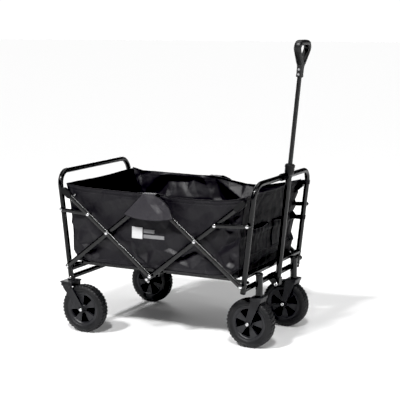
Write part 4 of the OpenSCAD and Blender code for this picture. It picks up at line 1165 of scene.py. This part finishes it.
# floor pads: boards wrapped in cloth, with a sewn channel across each
for nm, body, sx in (("rear", "floor_rear", -1), ("front", "floor_front", 1)):
    nu, nv = 90, 90
    x0, x1 = 38.5, 325.0
    a = np.linspace(0, 1, nu)[:, None] * np.ones((1, nv))
    b = np.linspace(0, 1, nv)[None, :] * np.ones((nu, 1))
    X = x0 + (x1 - x0) * a
    Y = -230.7 + 461.4 * b
    rim = lambda q, w: np.clip(np.minimum(q, 1 - q) * w, 0, 1)
    edge = np.sqrt(1 - (1 - rim(a, 286 / 5.0)) ** 2) * np.sqrt(1 - (1 - rim(b, 459 / 5.0)) ** 2)
    puff = 1.5 * (1 - (2 * a - 1) ** 6) * (1 - (2 * b - 1) ** 8)
    seam = 2.6 * np.exp(-(((X - 174.5) / 3.2) ** 2))
    Zt = 262.6 + 3.6 * edge + puff * edge - seam * edge + (0.25 * vnoise(X / 22, Y / 25, 131) + 0.1 * vnoise(X / 8, Y / 9, 132)) * edge
    Zb = 261.0 - 2.9 * edge
    top = np.stack([sx * X, Y, Zt], 2)
    bot = np.stack([sx * X, Y, Zb], 2)
    vt, ft, ut = sheet_geo(top)
    g = Geo()
    g.add(vt, ft, ut)
    g.add(bot.reshape(-1, 3), [tuple(reversed(q)) for q in grid_faces(nu, nv)], ut)
    ring = [i * nv for i in range(nu)] + [(nu - 1) * nv + j for j in range(1, nv)] + [i * nv + nv - 1 for i in range(nu - 2, -1, -1)] + [j for j in range(nv - 2, 0, -1)]
    m = nu * nv
    g.f += [(ring[i], ring[(i + 1) % len(ring)], ring[(i + 1) % len(ring)] + m, ring[i] + m) for i in range(len(ring))]
    o = build("floor_pad_" + nm, g, M_FLOOR_F, body, 60, ["floor_boards_" + nm] + (["floor_skin"] if nm == "rear" else []))
    g = Geo()
    k = 5
    loop = np.concatenate([top[k:-k, k], top[-k - 1, k:-k], top[k:-k, -k - 1][::-1], top[k, k:-k][::-1]])
    stitch_geo(g, loop[::2], (0, 0, 0.35), 6.0, 4.0, 0.4)
    for dx in (-4.5, 4.5):
        xs = 174.5 + dx
        i = int(round((xs - x0) / (x1 - x0) * (nu - 1)))
        stitch_geo(g, top[i, 4:-4:2], (0, 0, 0.35), 6.0, 4.0, 0.4)
    if nm == "rear":
        arc = [(sx * (58 + 0), -46 + 92 * t, 267.6 + 9.5 * math.sin(PI * t) ** 0.8) for t in np.linspace(0, 1, 26)]
        gs = Geo()
        gs.add(*strap(arc, 24.0, 1.6, (1, 0, 0)))
        for y in (-50, 50):
            gs.add(*rbox((sx * 58 - 13, y - 11, 266.8), (sx * 58 + 13, y + 11, 269.0), 0.8, 2))
        build("pull_strap", gs, M_HEM, body, 50)
    build("pad_stitch_" + nm, g, M_THREAD, body, None, closed=False)

# the tub's own bottom cloth, seen between the two pads
nu, nv = 30, 110
a = np.linspace(0, 1, nu)[:, None] * np.ones((1, nv))
b = np.linspace(0, 1, nv)[None, :] * np.ones((nu, 1))
X = -56 + 112 * a
Y = -229 + 458 * b
Z = 268.6 - 4.6 * np.exp(-((X / 27.0) ** 4)) + 0.5 * vnoise(X / 20, Y / 34, 141) * np.exp(-((X / 40.0) ** 4))
P = np.stack([X, Y, Z], 2)
g = Geo()
g.add(*sheet_geo(P))
o = build("floor_bridge", g, M_TUB, "rear_frame", None, closed=False, solid=1.0)
squashed(bake(o))

# ---------------------------------------------------------------- stage, light and camera
me = bpy.data.meshes.new("floor_sheet")
F = 60.0
me.from_pydata([(-F, -F, 0), (F, -F, 0), (F, F, 0), (-F, F, 0)], [], [(0, 1, 2, 3)])
floor = bpy.data.objects.new("floor_sheet", me)
scene.collection.objects.link(floor)
m, nt, b = nodes_of("floor_m")
b.inputs["Base Color"].default_value = (0.93, 0.93, 0.93, 1)
b.inputs["Roughness"].default_value = 0.8
b.inputs["Specular IOR Level"].default_value = 0.1
b.inputs["Emission Color"].default_value = (1, 1, 1, 1)
b.inputs["Emission Strength"].default_value = 0.04
me.materials.append(m)

world = bpy.data.worlds.new("studio")
scene.world = world
world.use_nodes = True
wn = world.node_tree
wn.nodes.clear()
out = wn.nodes.new("ShaderNodeOutputWorld")
bg1, bg2 = wn.nodes.new("ShaderNodeBackground"), wn.nodes.new("ShaderNodeBackground")
bg1.inputs[0].default_value, bg1.inputs[1].default_value = (1, 1, 1, 1), 0.08
bg2.inputs[0].default_value, bg2.inputs[1].default_value = (1, 1, 1, 1), 1.05
mixn = wn.nodes.new("ShaderNodeMixShader")
lp = wn.nodes.new("ShaderNodeLightPath")
wn.links.new(lp.outputs["Is Camera Ray"], mixn.inputs[0])
wn.links.new(bg1.outputs[0], mixn.inputs[1])
wn.links.new(bg2.outputs[0], mixn.inputs[2])
wn.links.new(mixn.outputs[0], out.inputs[0])


def area(name, loc, at, size, size_y, power, spread=180):
    L = bpy.data.lights.new(name, "AREA")
    L.shape, L.size, L.size_y, L.energy = "RECTANGLE", size, size_y, power
    L.spread = RAD(spread)
    o = bpy.data.objects.new(name, L)
    scene.collection.objects.link(o)
    o.location = loc
    o.rotation_euler = (Vector(at) - Vector(loc)).to_track_quat("-Z", "Y").to_euler()
    return o


for nm, energy, way in (("key_left", 2.4, (0.24, 0.92, -1.0)), ("key_right", 1.8, (-0.34, 0.86, -1.0))):
    sun = bpy.data.lights.new(nm, "SUN")
    sun.energy, sun.angle = energy, RAD(6)
    so = bpy.data.objects.new(nm, sun)
    scene.collection.objects.link(so)
    so.rotation_euler = Vector(way).to_track_quat("-Z", "Y").to_euler()
area("strip_right", (2.7, -0.5, 1.15), (0, 0, 0.6), 0.08, 2.3, 15)
area("top_soft", (0.25, 0.45, 2.7), (0.1, 0.3, 0), 2.0, 1.6, 16)
area("back_soft", (-2.0, 2.6, 1.5), (-0.1, 0, 0.35), 1.2, 1.2, 22)

cam = bpy.data.cameras.new("camera")
co = bpy.data.objects.new("camera", cam)
scene.collection.objects.link(co)
co.location = (1.8550, -3.5911, 1.1272)
co.rotation_euler = Vector((-0.4483, 0.8798, -0.1583)).to_track_quat("-Z", "Y").to_euler()
cam.lens, cam.sensor_width = 99.47, 36.0
cam.clip_start, cam.clip_end = 0.1, 200.0
scene.camera = co
scene.view_settings.view_transform = "Standard"
scene.view_settings.use_curve_mapping = True
scene.view_settings.curve_mapping.black_level = (0.013, 0.013, 0.013)
